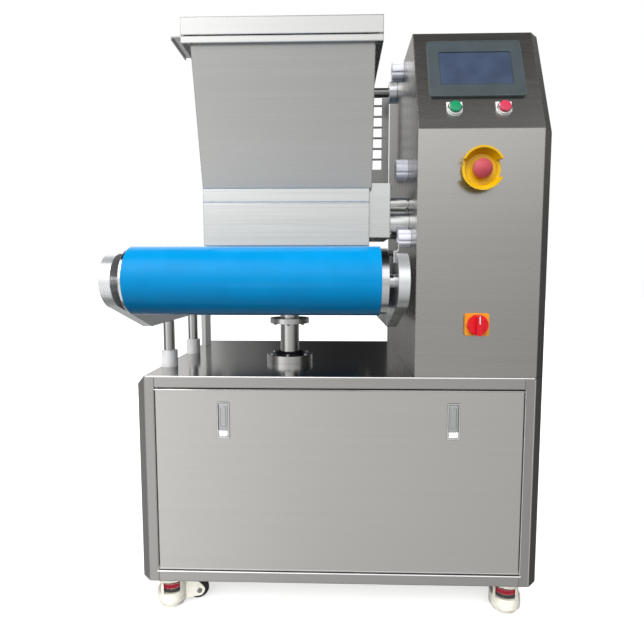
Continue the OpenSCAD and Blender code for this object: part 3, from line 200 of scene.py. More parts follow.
# sheet steel, brushed after rolling: grey, soft mirror of the room
doorSteel = brushedSteel("brushed_stainless_door", "#D5D3CF", 0.32)
frameSteel = brushedSteel("brushed_stainless_frame", "#B5B3B0", 0.32, along="Z")
railSteel = brushedSteel("brushed_stainless_rail", "#BEBCB9", 0.32)
rearSteel = brushedSteel("brushed_stainless_rear", "#BEBCB9", 0.36)
consoleSteel = brushedSteel("brushed_stainless_console", "#B5B3AF", 0.27)
topSteel = brushedSteel("ground_stainless_top", "#A4A29F", 0.15)
hopperSteel = brushedSteel("brushed_stainless_hopper", "#C9C9C7", 0.26)
latchSteel = brushedSteel("brushed_stainless_latch", "#CFD0D1", 0.30)
# planed blocks: wide bright bands from the planer
pumpAluminium = brushedSteel("planed_aluminium", "#DADCDB", 0.24, shade=0.08)
# clear anodising scatters part of the light, so the plates shade softly from top to bottom
plateAluminium = machinedMetal("anodised_aluminium", "#E4E6E7", 0.28, metallic=0.7)
# turned, ground and drawn steel: brighter than sheet, with crisp edges; the drawn bar alone is darker
shaftSteel = machinedMetal("ground_steel_shaft", "#CFCFCE", 0.17)
guardSteel = machinedMetal("drawn_steel_bar", "#8E8F8D", 0.24)
chromeSteel = machinedMetal("polished_steel", "#DCDDDE", 0.12, swing=0.03)
# near-white, brighter than the steel it stands for: painted highlight on the latch rims and the rail lips
highlightChrome = machinedMetal("chrome_painted_highlight", "#F6F6F6", 0.10, swing=0.03)
screwSteel = machinedMetal("zinc_plated_screw", "#A9AAA8", 0.30)
# smooth bend of the sheet: catches the light in a line; lighter than the side panels' steel, so on the post
# folds the line is partly painted highlight
edgeSteel = machinedMetal("rolled_sheet_edge", "#D6D5D2", 0.18)
# calendered belt skin: strong blue with a wet sheen seen along it
beltBlue = mouldedPlastic("polyurethane_belt", "#008BCB", 0.16, grain=1.4, lift=0.02,
                          Specular_IOR_Level=0.12)
# turned and moulded plastics: even colour, soft sheen
knobWhite = mouldedPlastic("acetal_white", "#EDEDF7", 0.34)
bushWhite = mouldedPlastic("nylon_white", "#F2F2F2", 0.40)
casterIvory = mouldedPlastic("nylon_ivory", "#F0EDE0", 0.34)
ringRed = mouldedPlastic("nylon_red", "#9E0C2A", 0.36)
bezelGrey = mouldedPlastic("abs_bezel_grey", "#424C50", 0.36)
# lighter than the bezel: painted highlight along the touch panel's edge
bezelHighlightGrey = mouldedPlastic("abs_edge_grey_painted_highlight", "#4C5759", 0.30)
surroundDark = mouldedPlastic("abs_dark_surround", "#39424B", 0.35)
legendWhite = mouldedPlastic("abs_white", "#EFEFEC", 0.40)
guardYellow = mouldedPlastic("abs_yellow", "#E8B80C", 0.35)
plateOrange = mouldedPlastic("abs_orange", "#F09A18", 0.36)
headRed = mouldedPlastic("pbt_red", "#BE4A54", 0.42)
switchRed = mouldedPlastic("pbt_red_switch", "#DE0A20", 0.24)
buttonGreen = mouldedPlastic("acrylic_green", "#129060", 0.24)
buttonRed = mouldedPlastic("acrylic_red", "#CC3A56", 0.24)
drivesGrey = mouldedPlastic("abs_drive_grey", "#BDBDB8", 0.50)
ductGrey = mouldedPlastic("pvc_duct_grey", "#8E9294", 0.50)
drivesDark = mouldedPlastic("abs_charcoal", "#2C2F33", 0.45)
# glass over the display: deep blue-grey, sharp gloss, its colour strongly mottled as a painted faint
# reflection
screenBlue = mouldedPlastic("lcd_glass", "#3F4B61", 0.12, lift=0.0, shade=0.16, Coat_Weight=0.4,
                            Coat_Roughness=0.05)
# moulded rubber: black and dull
wheelBlack = mouldedPlastic("rubber_black", "#171717", 0.55, grain=1.2, lift=0.15)
padGrey = mouldedPlastic("rubber_dark_grey", "#3A3A3C", 0.60)
# stoved enamel on cast iron: grey, a little uneven
motorGrey = mouldedPlastic("enamel_grey", "#5E666C", 0.45)
print("depositor: finishes made")

casterNames = ["front_left", "front_right", "rear_left", "rear_right"]
sides = ["left", "right"]
coats = [
    (doorSteel, ["front_door"]),
    (frameSteel, ["left_side_panel", "right_side_panel"]),
    (railSteel, ["front_top_rail", "front_bottom_rail", "floor_plate", "slider_bed"]),
    (rearSteel, ["rear_panel", "console_rear_cover"]),
    (topSteel, ["top_plate"]),
    (consoleSteel, ["console_shell"]),
    (hopperSteel, ["hopper", "hopper_lid"]),
    (pumpAluminium, ["pump_body", "gear_housing", "nozzle_plate"]),
    (plateAluminium, ["table_plate_" + side for side in sides]),
    (shaftSteel, ["lift_column", "lift_housing", "guide_rods", "feed_roller_front", "feed_roller_rear"]),
    (guardSteel, ["rear_guard"]),
    (chromeSteel, ["front_drum", "rear_drum", "caster_plates"]),
    (latchSteel, ["latch_frames"] + ["latch_lever_" + side for side in sides]),
    (legendWhite, ["button_plates"] + ["latch_button_" + side for side in sides]),
    (beltBlue, ["belt"]),
    (knobWhite, ["hand_knob_upper", "hand_knob_middle", "hand_knob_lower"]),
    (bushWhite, ["guide_bushes"]),
    (bezelGrey, ["touch_panel"]),
    (screenBlue, ["touch_screen"]),
    (buttonGreen, ["start_button"]),
    (buttonRed, ["stop_button"]),
    (guardYellow, ["stop_guard"]),
    (headRed, ["stop_head"]),
    (plateOrange, ["switch_plate"]),
    (switchRed, ["switch_knob"]),
    (motorGrey, ["pump_motor"]),
    (drivesGrey, ["electrical_panel"]),
    (casterIvory, [part + name for part in ("caster_body_", "caster_foot_") for name in casterNames]),
    (wheelBlack, ["caster_wheel_" + name for name in casterNames]),
]
for finish, names in coats:
    for name in names:
        skin = nodes[name].data
        skin.materials.clear()
        skin.materials.append(finish)
print("depositor: finishes on the nodes")


# faces that meet at more than the crease angle keep a sharp edge between them
def newPiece(name, shape, finish, body, crease=40):
    bmesh.ops.recalc_face_normals(shape, faces=shape.faces)
    skin = bpy.data.meshes.new(name)
    shape.to_mesh(skin)
    shape.free()
    skin.materials.append(finish)
    for face in skin.polygons:
        face.use_smooth = True
    skin.set_sharp_from_angle(angle=math.radians(crease))
    piece = bpy.data.objects.new(name, skin)
    scene.collection.objects.link(piece)
    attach(piece, body)


def skinRings(shape, rings, closed):
    pairs = list(zip(rings, rings[1:])) + ([(rings[-1], rings[0])] if closed else [])
    for low, high in pairs:
        count = max(len(low), len(high))
        for i in range(count):
            j = (i + 1) % count
            if len(low) == 1:
                shape.faces.new((low[0], high[i], high[j]))
            elif len(high) == 1:
                shape.faces.new((low[i], low[j], high[0]))
            else:
                shape.faces.new((low[i], low[j], high[j], high[i]))


# turned form: (radius, height) steps in mm round an axis, a third number gives that many flats;
# every knurl-th point round it is sunk by the depth
def turnForm(shape, steps, place, axis=(0, 0, 1), count=48, closed=False, knurl=0, depth=0):
    lean = Vector((0, 0, 1)).rotation_difference(Vector(axis)).to_matrix().to_4x4()
    spot = Matrix.Translation(Vector(place) * mm) @ lean
    rings = []
    for step in steps:
        r, h = step[0] * mm, step[1] * mm
        if r == 0:
            rings.append([shape.verts.new(spot @ Vector((0, 0, h)))])
            continue
        ring = []
        for i in range(count):
            a = 2 * math.pi * i / count
            reach = r
            if len(step) > 2:
                half = math.pi / step[2]
                reach = r * math.cos(half) / math.cos(a % (2 * half) - half)
            elif knurl and i % knurl == 0:
                reach = r - depth * mm
            ring.append(shape.verts.new(spot @ Vector((reach * math.cos(a), reach * math.sin(a), h))))
        rings.append(ring)
    skinRings(shape, rings, closed)


# rounded rectangle about the origin, each corner an arc
def softRect(w, h, r, inset=0, arc=5):
    smallest = 0.05
    w, h, r = w / 2 - inset, h / 2 - inset, max(r - inset, smallest)
    outline = []
    for x, y, start in ((w - r, h - r, 0), (r - w, h - r, 90), (r - w, r - h, 180), (w - r, r - h, 270)):
        for i in range(arc + 1):
            a = math.radians(start + 90 * i / arc)
            outline.append((x + r * math.cos(a), y + r * math.sin(a)))
    return outline


# stacked form: outlines at heights, on a plane given by its right and up directions
def stackForm(shape, layers, place, right, up, closed=False):
    right, up = Vector(right), Vector(up)
    out = right.cross(up)
    rings = [[shape.verts.new((Vector(place) + right * u + up * v + out * h) * mm) for u, v in outline]
             for outline, h in layers]
    skinRings(shape, rings, closed)
    if not closed:
        shape.faces.new(rings[0])
        shape.faces.new(rings[-1])


# right and up directions of a plane that faces the front
frontWay = ((1, 0, 0), (0, 0, 1))


# moulded block with eased edges, standing out from its plane between two heights
def easedBlock(shape, w, h, r, low, high, ease, place, right, up):
    stackForm(shape, [(softRect(w, h, r), low), (softRect(w, h, r), high - ease),
                      (softRect(w, h, r, ease), high)], place, right, up)


# flat ring between an outer and an inner rounded rectangle, eased on its outer edge
def easedFrame(shape, w, h, r, rim, low, high, ease, place, right, up):
    stackForm(shape, [(softRect(w, h, r), low), (softRect(w, h, r), high - ease),
                      (softRect(w, h, r, ease), high), (softRect(w, h, r, rim), high),
                      (softRect(w, h, r, rim), low)], place, right, up, True)


# socket screw heads of radius r, or low round ones with a smaller socket
def capScrews(name, spots, axis, r, body, tall=True):
    shape = bmesh.new()
    top = r if tall else 0.55 * r
    for spot in spots:
        turnForm(shape, [(0, 0.45 * top), (0.5 * r, 0.45 * top, 6), (0.5 * r, top, 6), (0.84 * r, 0.96 * top),
                         (r, 0.7 * top), (r, -0.3 * r), (0, -0.3 * r)], spot, axis, 24)
    newPiece(name, shape, screwSteel, body)


# casters: knurled red thumb ring over a dark lock nut, ridged skirt, bolts through the fork, wheel hub
caster = {"ring": (46.8, 58.3, 28.2), "ringBore": 7.5, "ringKnurl": 1.1, "nut": (38.2, 46.6, 26.8),
          "nutWall": 2, "nutEase": 0.6, "nutKnurl": 0.6, "skirtR": 35, "lips": (15, 20.5), "lipH": 4,
          "lipOut": 0.5, "forkHalf": 19, "boltR": 5, "boltH": 3.2, "washerR": 6.2, "washerH": 0.8,
          "wheelHalf": 12, "hubBore": 5, "hubR": 14.6, "plateUnder": 82, "plateBoltOut": 30, "plateBoltR": 4}
plateBolts = []
for name in casterNames:
    at = middle("caster_foot_" + name).to_2d()
    floorSpot = (*at, 0)
    low, high, r = caster["ring"]
    bore = caster["ringBore"]
    ring = bmesh.new()
    turnForm(ring, [(bore, low), (r - 1.6, low), (r, low + 1.2), (r, high - 1.3), (r - 1.6, high),
                    (bore, high)], floorSpot, count=120, closed=True, knurl=3, depth=caster["ringKnurl"])
    newPiece("thumb_ring_" + name, ring, ringRed, "caster_foot_" + name, 30)
    low, high, r = caster["nut"]
    bore, ease = r - caster["nutWall"], caster["nutEase"]
    nut = bmesh.new()
    turnForm(nut, [(bore, low), (r - ease, low), (r, low + ease), (r, high - ease), (r - ease, high),
                   (bore, high)], floorSpot, count=96, closed=True, knurl=2, depth=caster["nutKnurl"])
    newPiece("lock_nut_" + name, nut, padGrey, "caster_foot_" + name, 30)
    lips = bmesh.new()
    r, out, tall = caster["skirtR"], caster["lipOut"], caster["lipH"]
    for z in caster["lips"]:
        turnForm(lips, [(r - 1, z), (r + out - 0.2, z), (r + out, z + 1), (r + out, z + tall - 1),
                        (r + out - 0.2, z + tall), (r - 1, z + tall)], floorSpot, count=72, closed=True)
    newPiece("skirt_lips_" + name, lips, casterIvory, "caster_" + name)
    hub = pivot("caster_" + name + "_roll")
    bolts, hubs = bmesh.new(), bmesh.new()
    for sign in (-1, 1):
        axle = Vector(joints["caster_" + name + "_roll"]["axis"]) * sign
        r, tall, wide, thick = caster["boltR"], caster["boltH"], caster["washerR"], caster["washerH"]
        turnForm(bolts, [(0, tall), (r - 0.6, tall, 6), (r, tall - 0.6, 6), (r, thick, 6), (wide, thick),
                         (wide, -0.4), (0, -0.4)], hub + axle * caster["forkHalf"], axle, 24)
        bore, r = caster["hubBore"], caster["hubR"]
        turnForm(hubs, [(bore, 0.5), (r - 0.6, 0.5), (r, 0), (r, -0.6), (bore, -0.6)],
                 hub + axle * caster["wheelHalf"], axle, 48, True)
    newPiece("fork_bolts_" + name, bolts, screwSteel, "caster_" + name)
    newPiece("wheel_hubs_" + name, hubs, padGrey, "caster_wheel_" + name)
    out = caster["plateBoltOut"]
    plateBolts += [(at.x + sx * out, at.y + sy * out, caster["plateUnder"])
                   for sx in (-1, 1) for sy in (-1, 1)]
capScrews("caster_plate_bolts", plateBolts, (0, 0, -1), caster["plateBoltR"], "base", tall=False)
print("depositor: casters dressed")

# cabinet: rolled edges of the folded sheet, bright lines round the door and along the folds; the lips on the
# rails are near-white, a painted highlight
fold = {"bevel": 22, "beadIn": 0.8, "beadWide": 2.8, "beadOut": 0.5, "beadRound": 3, "sunk": 0.3,
        "lipH": 2.8, "lipOut": 1.0, "lipShort": 3, "near": 1.1, "far": 2.4, "postFoot": 1, "postHead": 3}
doorLow, doorHigh = corners("front_door")
face = doorLow.y
bead = bmesh.new()
size = (doorHigh.x - doorLow.x - 2 * fold["beadIn"], doorHigh.z - doorLow.z - 2 * fold["beadIn"])
wide, sunk = fold["beadWide"], -fold["sunk"]
stackForm(bead, [(softRect(*size, fold["beadRound"], inset, 3), out)
                 for inset, out in ((0, sunk), (wide / 2, fold["beadOut"]), (wide, sunk))],
          Vector((0, face, (doorLow.z + doorHigh.z) / 2)), *frontWay, True)
newPiece("door_bead", bead, edgeSteel, "door", 10)
lips, folds = bmesh.new(), bmesh.new()
panelLow, panelHigh = corners("left_side_panel")
reach = panelLow.x + fold["bevel"]
h, out = fold["lipH"], fold["lipOut"]
for top, span in ((corners("front_bottom_rail")[1].z, doorHigh.x),
                  (corners("top_plate")[1].z, -reach - fold["lipShort"])):
    profile = [(face + 0.4, top - h), (face - out, top - h + 0.5), (face - 0.1, top - 0.2),
               (face + 0.5, top - 0.2)]
    stackForm(lips, [(profile, -span), (profile, span)], (0, 0, 0), (0, 1, 0), (0, 0, 1))
# near-white lips: painted highlight along the rail edges
newPiece("rail_lips", lips, highlightChrome, "base", 10)
# post folds: steel lighter than the side panels', partly a painted highlight along the fold
slant = math.sqrt(0.5)
near, far = fold["near"], fold["far"]
profile = [(-far, 0.2), (-near, -0.3), (slant * (near + 0.3), slant * (near - 0.3)),
           (slant * far - 0.1, slant * far + 0.1), (0, 0.8)]
for sign in (-1, 1):
    turned = [(sign * x, y) for x, y in profile]
    stackForm(folds, [(turned, panelLow.z + fold["postFoot"]), (turned, panelHigh.z - fold["postHead"])],
              (-sign * reach, face, 0), (1, 0, 0), (0, 1, 0))
newPiece("post_folds", folds, edgeSteel, "base", 10)
print("depositor: cabinet dressed")

# flush latches: raised rim on the door, near-white as a painted highlight; pressed panel on the lever, white
# cap on the push button
latch = {"rim": 2.8, "rimRound": 2.5, "rimOut": 1.2, "rimEase": 1.1, "panel": (13, 46, 2), "panelOut": 0.8,
         "cap": (19, 12, 1.5), "capOut": 0.9, "ease": 0.6, "sunk": 0.5}
rims = bmesh.new()
framesLow, framesHigh = corners("latch_frames")
sunk, ease = -latch["sunk"], latch["ease"]
for side in sides:
    button, lever = corners("latch_button_" + side), corners("latch_lever_" + side)
    x = middle("latch_button_" + side).x
    w = 2 * (framesHigh.x - abs(x))
    h = framesHigh.z - framesLow.z
    easedFrame(rims, w, h, latch["rimRound"], latch["rim"], sunk, latch["rimOut"], latch["rimEase"],
               Vector((x, framesLow.y, (framesLow.z + framesHigh.z) / 2)), *frontWay)
    panel = bmesh.new()
    easedBlock(panel, *latch["panel"], sunk, latch["panelOut"], ease,
               Vector((x, lever[0].y, (lever[0].z + lever[1].z) / 2)), *frontWay)
    newPiece("lever_panel_" + side, panel, latchSteel, "latch_lever_" + side)
    cap = bmesh.new()
    easedBlock(cap, *latch["cap"], sunk, latch["capOut"], ease,
               Vector((x, button[0].y, (button[0].z + button[1].z) / 2)), *frontWay)
    newPiece("latch_cap_" + side, cap, legendWhite, "latch_button_" + side)
newPiece("latch_rims", rims, highlightChrome, "door")
print("depositor: latches dressed")

# console slope: chrome rings round the buttons, a lens on each cap, moulded edge of the touch panel in a
# lighter grey that paints a highlight along it
slope = {"run": 102, "rise": 236, "ring": (12.4, 15.6), "ringFoot": 2, "ringTop": 6.4, "lensR": 11.6,
         "capTop": 11.3, "edge": (204.8, 150.8, 8.4), "edgeRim": 2.6, "edgeFrom": 4.4, "edgeTo": 6.4,
         "edgeEase": 1.0, "surround": (158, 91, 2), "surroundRim": 2, "surroundFrom": 4.6, "surroundTo": 6.2,
         "surroundEase": 0.5}
slopeLength = math.hypot(slope["run"], slope["rise"])
slopeUp = Vector((0, slope["run"], slope["rise"])) / slopeLength
slopeOut = Vector((0, -slope["rise"], slope["run"])) / slopeLength
slopeWay = ((1, 0, 0), slopeUp)
shell = corners("console_shell")
slopeFoot = Vector((0, shell[0].y, shell[1].z - slope["rise"]))


# foot, on the sloping face, of whatever stands on it at the middle of a node's box
def onSlope(name):
    spot = middle(name)
    up = (spot - slopeFoot).dot(slopeUp)
    return Vector((spot.x, 0, 0)) + slopeFoot + slopeUp * up


def lens(name, node, finish):
    shape = bmesh.new()
    r, top = slope["lensR"], slope["capTop"]
    turnForm(shape, [(0, top + 1.5), (0.4 * r, top + 1.35), (0.75 * r, top + 0.9), (r, top + 0.1),
                     (r, top - 0.6), (0, top - 0.6)], onSlope(node), slopeOut, 48)
    newPiece(name, shape, finish, node, 60)


rings = bmesh.new()
inner, outer = slope["ring"]
foot, top = slope["ringFoot"], slope["ringTop"]
for name in ("start_button", "stop_button"):
    turnForm(rings, [(inner, foot), (outer, foot), (outer, top - 1.4), (outer - 0.8, top), (inner + 0.6, top),
                     (inner, top - 0.8)], onSlope(name), slopeOut, 48, True)
newPiece("button_rings", rings, chromeSteel, "base")
lens("start_lens", "start_button", buttonGreen)
lens("stop_lens", "stop_button", buttonRed)
panelSpot = onSlope("touch_screen")
edge, surround = bmesh.new(), bmesh.new()
easedFrame(edge, *slope["edge"], slope["edgeRim"], slope["edgeFrom"], slope["edgeTo"], slope["edgeEase"],
           panelSpot, *slopeWay)
newPiece("panel_edge", edge, bezelHighlightGrey, "base")
easedFrame(surround, *slope["surround"], slope["surroundRim"], slope["surroundFrom"], slope["surroundTo"],
           slope["surroundEase"], panelSpot, *slopeWay)
newPiece("screen_surround", surround, surroundDark, "base")

# main switch: pale pointer set in the grip
switch = {"grip": 29.3, "mark": (2.4, 17, 1.1), "up": 11, "sunk": 0.4, "proud": 0.5, "ease": 0.3}
mark = bmesh.new()
easedBlock(mark, *switch["mark"], -switch["sunk"], switch["proud"], switch["ease"],
           pivot("switch_turn") + Vector((0, -switch["grip"], switch["up"])), *frontWay)
newPiece("switch_mark", mark, legendWhite, "switch_knob")
print("depositor: console dressed")

# lift: socket screws on both flanges and the dark wiper that the column slides through
lift = {"screwRing": 49, "screwR": 5, "upperRing": 40, "upperScrewR": 4, "columnR": 24.4, "wiperR": 37,
        "wiperH": 7, "headFlange": 13, "firstAngle": 30, "screws": 6}
centre = middle("lift_housing")
flangeTop = Vector((centre.x, centre.y, corners("lift_housing")[1].z))
headUnder = Vector((centre.x, centre.y, corners("table_plate_left")[0].z - lift["headFlange"]))
angles = [math.radians(lift["firstAngle"] + 360 / lift["screws"] * i) for i in range(lift["screws"])]
around = [Vector((math.cos(a), math.sin(a), 0)) for a in angles]
capScrews("flange_screws", [flangeTop + a * lift["screwRing"] for a in around], (0, 0, 1), lift["screwR"],
          "base")
capScrews("upper_flange_screws", [headUnder + a * lift["upperRing"] for a in around], (0, 0, -1),
          lift["upperScrewR"], "table")
wiper = bmesh.new()
r, wide, h = lift["columnR"], lift["wiperR"], lift["wiperH"]
turnForm(wiper, [(r, -0.5), (wide, -0.5), (wide, 0.45 * h), (wide - 3, 0.85 * h), (r + 1.6, h), (r, h - 1)],
         flangeTop, count=64, closed=True)
newPiece("column_wiper", wiper, wheelBlack, "base")

# pump: bearing covers with their screws on the left end, screws of the gear housing on the right
pump = {"coverR": 24, "coverT": 4.2, "bossR": 9.6, "screwRing": 18.5, "coverScrewR": 2.6, "housingFace": 121,
        "housingIn": 9, "housingScrewR": 4}
pumpEnd = corners("pump_body")[0].x
covers, spots = bmesh.new(), []
r, t, boss = pump["coverR"], pump["coverT"], pump["bossR"]
for name in ("roller_front_turn", "roller_rear_turn"):
    spot = pivotAt(name, pumpEnd)
    turnForm(covers, [(0, t + 0.8), (boss - 0.6, t + 0.8), (boss, t), (r - 1.2, t), (r, t - 1.2), (r, -0.6),
                      (0, -0.6)], spot, (-1, 0, 0), 64)
    for k in range(4):
        a = math.radians(45 + 90 * k)
        spots.append(spot + Vector((-t, pump["screwRing"] * math.cos(a), pump["screwRing"] * math.sin(a))))
newPiece("bearing_covers", covers, plateAluminium, "base")
capScrews("bearing_cover_screws", spots, (-1, 0, 0), pump["coverScrewR"], "base")
housingLow, housingHigh = corners("gear_housing")
inset = pump["housingIn"]
spots = [(pump["housingFace"], y, z) for z in (housingLow.z + inset, housingHigh.z - inset)
         for y in (housingLow.y + inset, housingHigh.y - inset)]
capScrews("gear_housing_screws", spots, (1, 0, 0), pump["housingScrewR"], "base")

# hand knobs: steel insert with a hexagon socket, sunk in each hub
knob = {"hubShare": 0.4, "recess": 2.5, "insertH": 1.7}
for name in ("upper", "middle", "lower"):
    low, high = corners("hand_knob_" + name)
    spot = pivotAt("knob_" + name + "_turn", low.x + knob["recess"])
    r, h = knob["hubShare"] * (high.z - low.z) / 2, knob["insertH"]
    insert = bmesh.new()
    turnForm(insert, [(0, 0.3), (0.5 * r, 0.3, 6), (0.5 * r, h, 6), (0.9 * r, h), (r, h - 0.4), (r, -0.4),
                      (0, -0.4)], spot, (-1, 0, 0), 36)
    newPiece("knob_insert_" + name, insert, screwSteel, "knob_" + name)

# rear guard: domed cap on the rod's left end, bright cover over the collar beside the console
guard = {"rodR": 13, "capH": 4, "collarR": 28.5, "collarL": 20, "collarX": 145.7, "coverT": 0.7}
rodCap, collar = bmesh.new(), bmesh.new()
r, h = guard["rodR"], guard["capH"]
turnForm(rodCap, [(0, h), (0.6 * r, h - 0.5), (0.92 * r, 1.8), (r, 0), (r, -0.4), (0, -0.4)],
         pivotAt("guard_swing", corners("rear_guard")[0].x), (-1, 0, 0), 48)
newPiece("guard_rod_cap", rodCap, wheelBlack, "guard", 60)
bore, inner, reach = r + 0.4, guard["collarR"] - 0.2, 0.4 - guard["collarL"]
outer = guard["collarR"] + guard["coverT"]
turnForm(collar, [(bore, -0.3), (bore, 1), (outer - 1.2, 1), (outer, 0), (outer, reach), (inner, reach),
                  (inner, -0.3)], pivotAt("guard_swing", guard["collarX"]), (-1, 0, 0), 64, True)
newPiece("guard_collar_cover", collar, plateAluminium, "guard")
print("depositor: pump and guard dressed")

# table: bearing rings and screws on the outer faces of the side plates, clips on the axles
table = {"seat": (13.2, 26), "seatT": 3, "axleR": 12.5, "clip": (3.6, 4.8), "clipOut": 3, "tubeY": 250,
         "screwUp": (6, 30), "screwR": 5}
plates = {"left": (corners("table_plate_left")[0].x, -1), "right": (corners("table_plate_right")[1].x, 1)}
bedUnder = corners("slider_bed")[0].z
drums = ("drum_front", "drum_rear")
seats = bmesh.new()
inner, outer = table["seat"]
t = table["seatT"]
for side, (x, sign) in plates.items():
    for name in drums:
        turnForm(seats, [(inner, -0.5), (outer, -0.5), (outer, t - 0.8), (outer - 1.2, t), (inner + 0.8, t),
                         (inner, t - 0.8)], pivotAt(name + "_turn", x), (sign, 0, 0), 64, True)
    spots = [(x, y, bedUnder + up) for y in (-table["tubeY"], 0, table["tubeY"]) for up in table["screwUp"]]
    capScrews("plate_screws_" + side, spots, (sign, 0, 0), table["screwR"], "table")
newPiece("bearing_seats", seats, plateAluminium, "table")
r, out, (low, high) = table["axleR"], table["clipOut"], table["clip"]
for name in drums:
    clips = bmesh.new()
    for x, sign in plates.values():
        turnForm(clips, [(r - 0.5, low), (r + out, low), (r + out, high), (r - 0.5, high)],
                 pivotAt(name + "_turn", x), (sign, 0, 0), 48, True)
    newPiece("axle_clips_" + name, clips, padGrey, name)

# drums: bright end ring that shows beside the belt on the left
endRing = {"r": (38, 60.3), "from": 1.2, "to": 6.2, "ease": 0.8}
(inner, outer), foot, top, ease = endRing["r"], endRing["from"], endRing["to"], endRing["ease"]
for name in drums:
    ring = bmesh.new()
    turnForm(ring, [(inner, foot), (outer, foot), (outer, top - ease), (outer - ease, top), (inner, top)],
             pivotAt(name + "_turn", corners("belt")[0].x), (-1, 0, 0), 96, True)
    newPiece("end_ring_" + name, ring, chromeSteel, name)

# tray sensor: strip hooked over the right side plate at the front, with a round eye towards the belt
sensor = {"y": -432, "width": 15, "drop": 17, "rise": 21, "back": 4, "eyeR": 5.2, "eyeL": 11, "eyeUp": 1.3}
strip, eye = bmesh.new(), bmesh.new()
low, high = corners("table_plate_right")
x, z = low.x, high.z
drop, rise, back = -sensor["drop"], sensor["rise"], -sensor["back"]
hook = [(x + u, z + v) for u, v in ((back, drop), (-0.3, drop), (-0.3, 1.5), (4.5, 3), (6.5, 7), (6.5, rise),
                                    (4, rise), (4, 8), (1.5, 5.5), (back, 5.5))]
stackForm(strip, [(hook, 0), (hook, sensor["width"])], (0, sensor["y"] + sensor["width"] / 2, 0), *frontWay)
newPiece("sensor_strip", strip, chromeSteel, "table", 30)
r, reach = sensor["eyeR"], sensor["eyeL"]
turnForm(eye, [(0, reach - 0.6), (0.6 * r, reach - 0.6), (0.7 * r, reach), (r - 0.5, reach), (r, reach - 0.5),
               (r, -0.3), (0, -0.3)], (x + back, sensor["y"], z + sensor["eyeUp"]), (-1, 0, 0), 32)
newPiece("sensor_eye", eye, padGrey, "table")
print("depositor: table dressed")

# back: low round screws that hold the rear panel and the console's rear cover, as (across, upright) rows
rear = {"r": 4.5, "sideIn": 12, "footIn": 14, "headIn": 28, "rows": {"rear_panel": (5, 2),
                                                                     "console_rear_cover": (2, 4)}}
spots = []
for node, (across, upright) in rear["rows"].items():
    low, high = corners(node)
    wide = high.x - low.x - 2 * rear["sideIn"]
    tall = high.z - low.z - rear["footIn"] - rear["headIn"]
    for i in range(across):
        for k in range(upright):
            x = low.x + rear["sideIn"] + wide * i / (across - 1)
            z = low.z + rear["footIn"] + tall * k / (upright - 1)
            spots.append((x, high.y, z))
capScrews("rear_cover_screws", spots, (0, 1, 0), rear["r"], "base", tall=False)

# electrical panel, seen past the open door: keypad, display and dial on each drive over its terminals,
# each drive given by its left edge, width and height; keypads and displays are shares of their drive
drive = {"up": 85, "each": [(-246.4, 112, 159.8), (-112, 134.4, 146.2), (56, 168, 156.4)], "middle": 0.66,
         "keypad": (0.62, 0.42), "keypadOut": 3, "display": (0.4, 0.14), "displayOut": 3.6, "displayUp": 0.09,
         "dialR": 6.6, "dialOut": 8, "dialDown": 0.1, "terminal": (8, 16, 1), "terminalOut": 6,
         "terminalPitch": 11, "terminalUp": 0.14, "screwR": 2.4, "screwUp": 3}
panelFoot = corners("electrical_panel")[0]
keypads, displays, terminals, ducts = bmesh.new(), bmesh.new(), bmesh.new(), bmesh.new()
driveFoot = panelFoot.z + drive["up"]
for x, w, h in drive["each"]:
    spot = Vector((x + w / 2, panelFoot.y, driveFoot + drive["middle"] * h))
    share = drive["keypad"]
    easedBlock(keypads, share[0] * w, share[1] * h, 4, -0.5, drive["keypadOut"], 1, spot, *frontWay)
    share = drive["display"]
    easedBlock(displays, share[0] * w, share[1] * h, 1.5, 2.5, drive["displayOut"], 0.3,
               spot + Vector((0, 0, drive["displayUp"] * h)), *frontWay)
    r, out = drive["dialR"], drive["dialOut"]
    turnForm(displays, [(0, out), (r - 1.6, out), (r - 0.6, out - 1), (r, 2.5), (0, 2.5)],
             spot - Vector((0, 0, drive["dialDown"] * h)), (0, -1, 0), 24)
    count = int(w / drive["terminalPitch"])
    for i in range(count):
        foot = Vector((x + w * (i + 0.5) / count, panelFoot.y, driveFoot + drive["terminalUp"] * h))
        r, out = drive["screwR"], drive["terminalOut"]
        easedBlock(terminals, *drive["terminal"], -0.5, out, 0.8, foot, *frontWay)
        turnForm(terminals, [(0, out + 0.8), (r - 0.4, out + 0.8), (r, out + 0.4), (r, out - 0.2),
                             (0, out - 0.2)], foot + Vector((0, 0, drive["screwUp"])), (0, -1, 0), 12)

# wire ducts above and below the drives: a channel with finger walls under a flat cover
duct = {"plateY": 270, "up": (10, 255), "height": 25, "depth": 34, "half": 262, "pitch": 12, "finger": 0.6,
        "cover": 5, "channelIn": 4, "channelShort": 6, "fingerShort": 5.2}
h, deep = duct["height"], duct["depth"]
for up in duct["up"]:
    mid = Vector((0, duct["plateY"], panelFoot.z + up + h / 2))
    easedBlock(ducts, 2 * duct["half"], h - duct["channelIn"], 1, 0, deep - duct["channelShort"], 1, mid,
               *frontWay)
    easedBlock(ducts, 2 * duct["half"], h, 1, deep - duct["cover"], deep, 1, mid, *frontWay)
    for i in range(int(2 * duct["half"] / duct["pitch"])):
        x = -duct["half"] + duct["pitch"] * (i + 0.5)
        easedBlock(ducts, duct["pitch"] * duct["finger"], h, 0.5, 0, deep - duct["fingerShort"], 0.3,
                   mid + Vector((x, 0, 0)), *frontWay)
newPiece("drive_keypads", keypads, drivesDark, "base")
newPiece("drive_displays", displays, screenBlue, "base")
newPiece("drive_terminals", terminals, buttonGreen, "base")
newPiece("wire_ducts", ducts, ductGrey, "base")

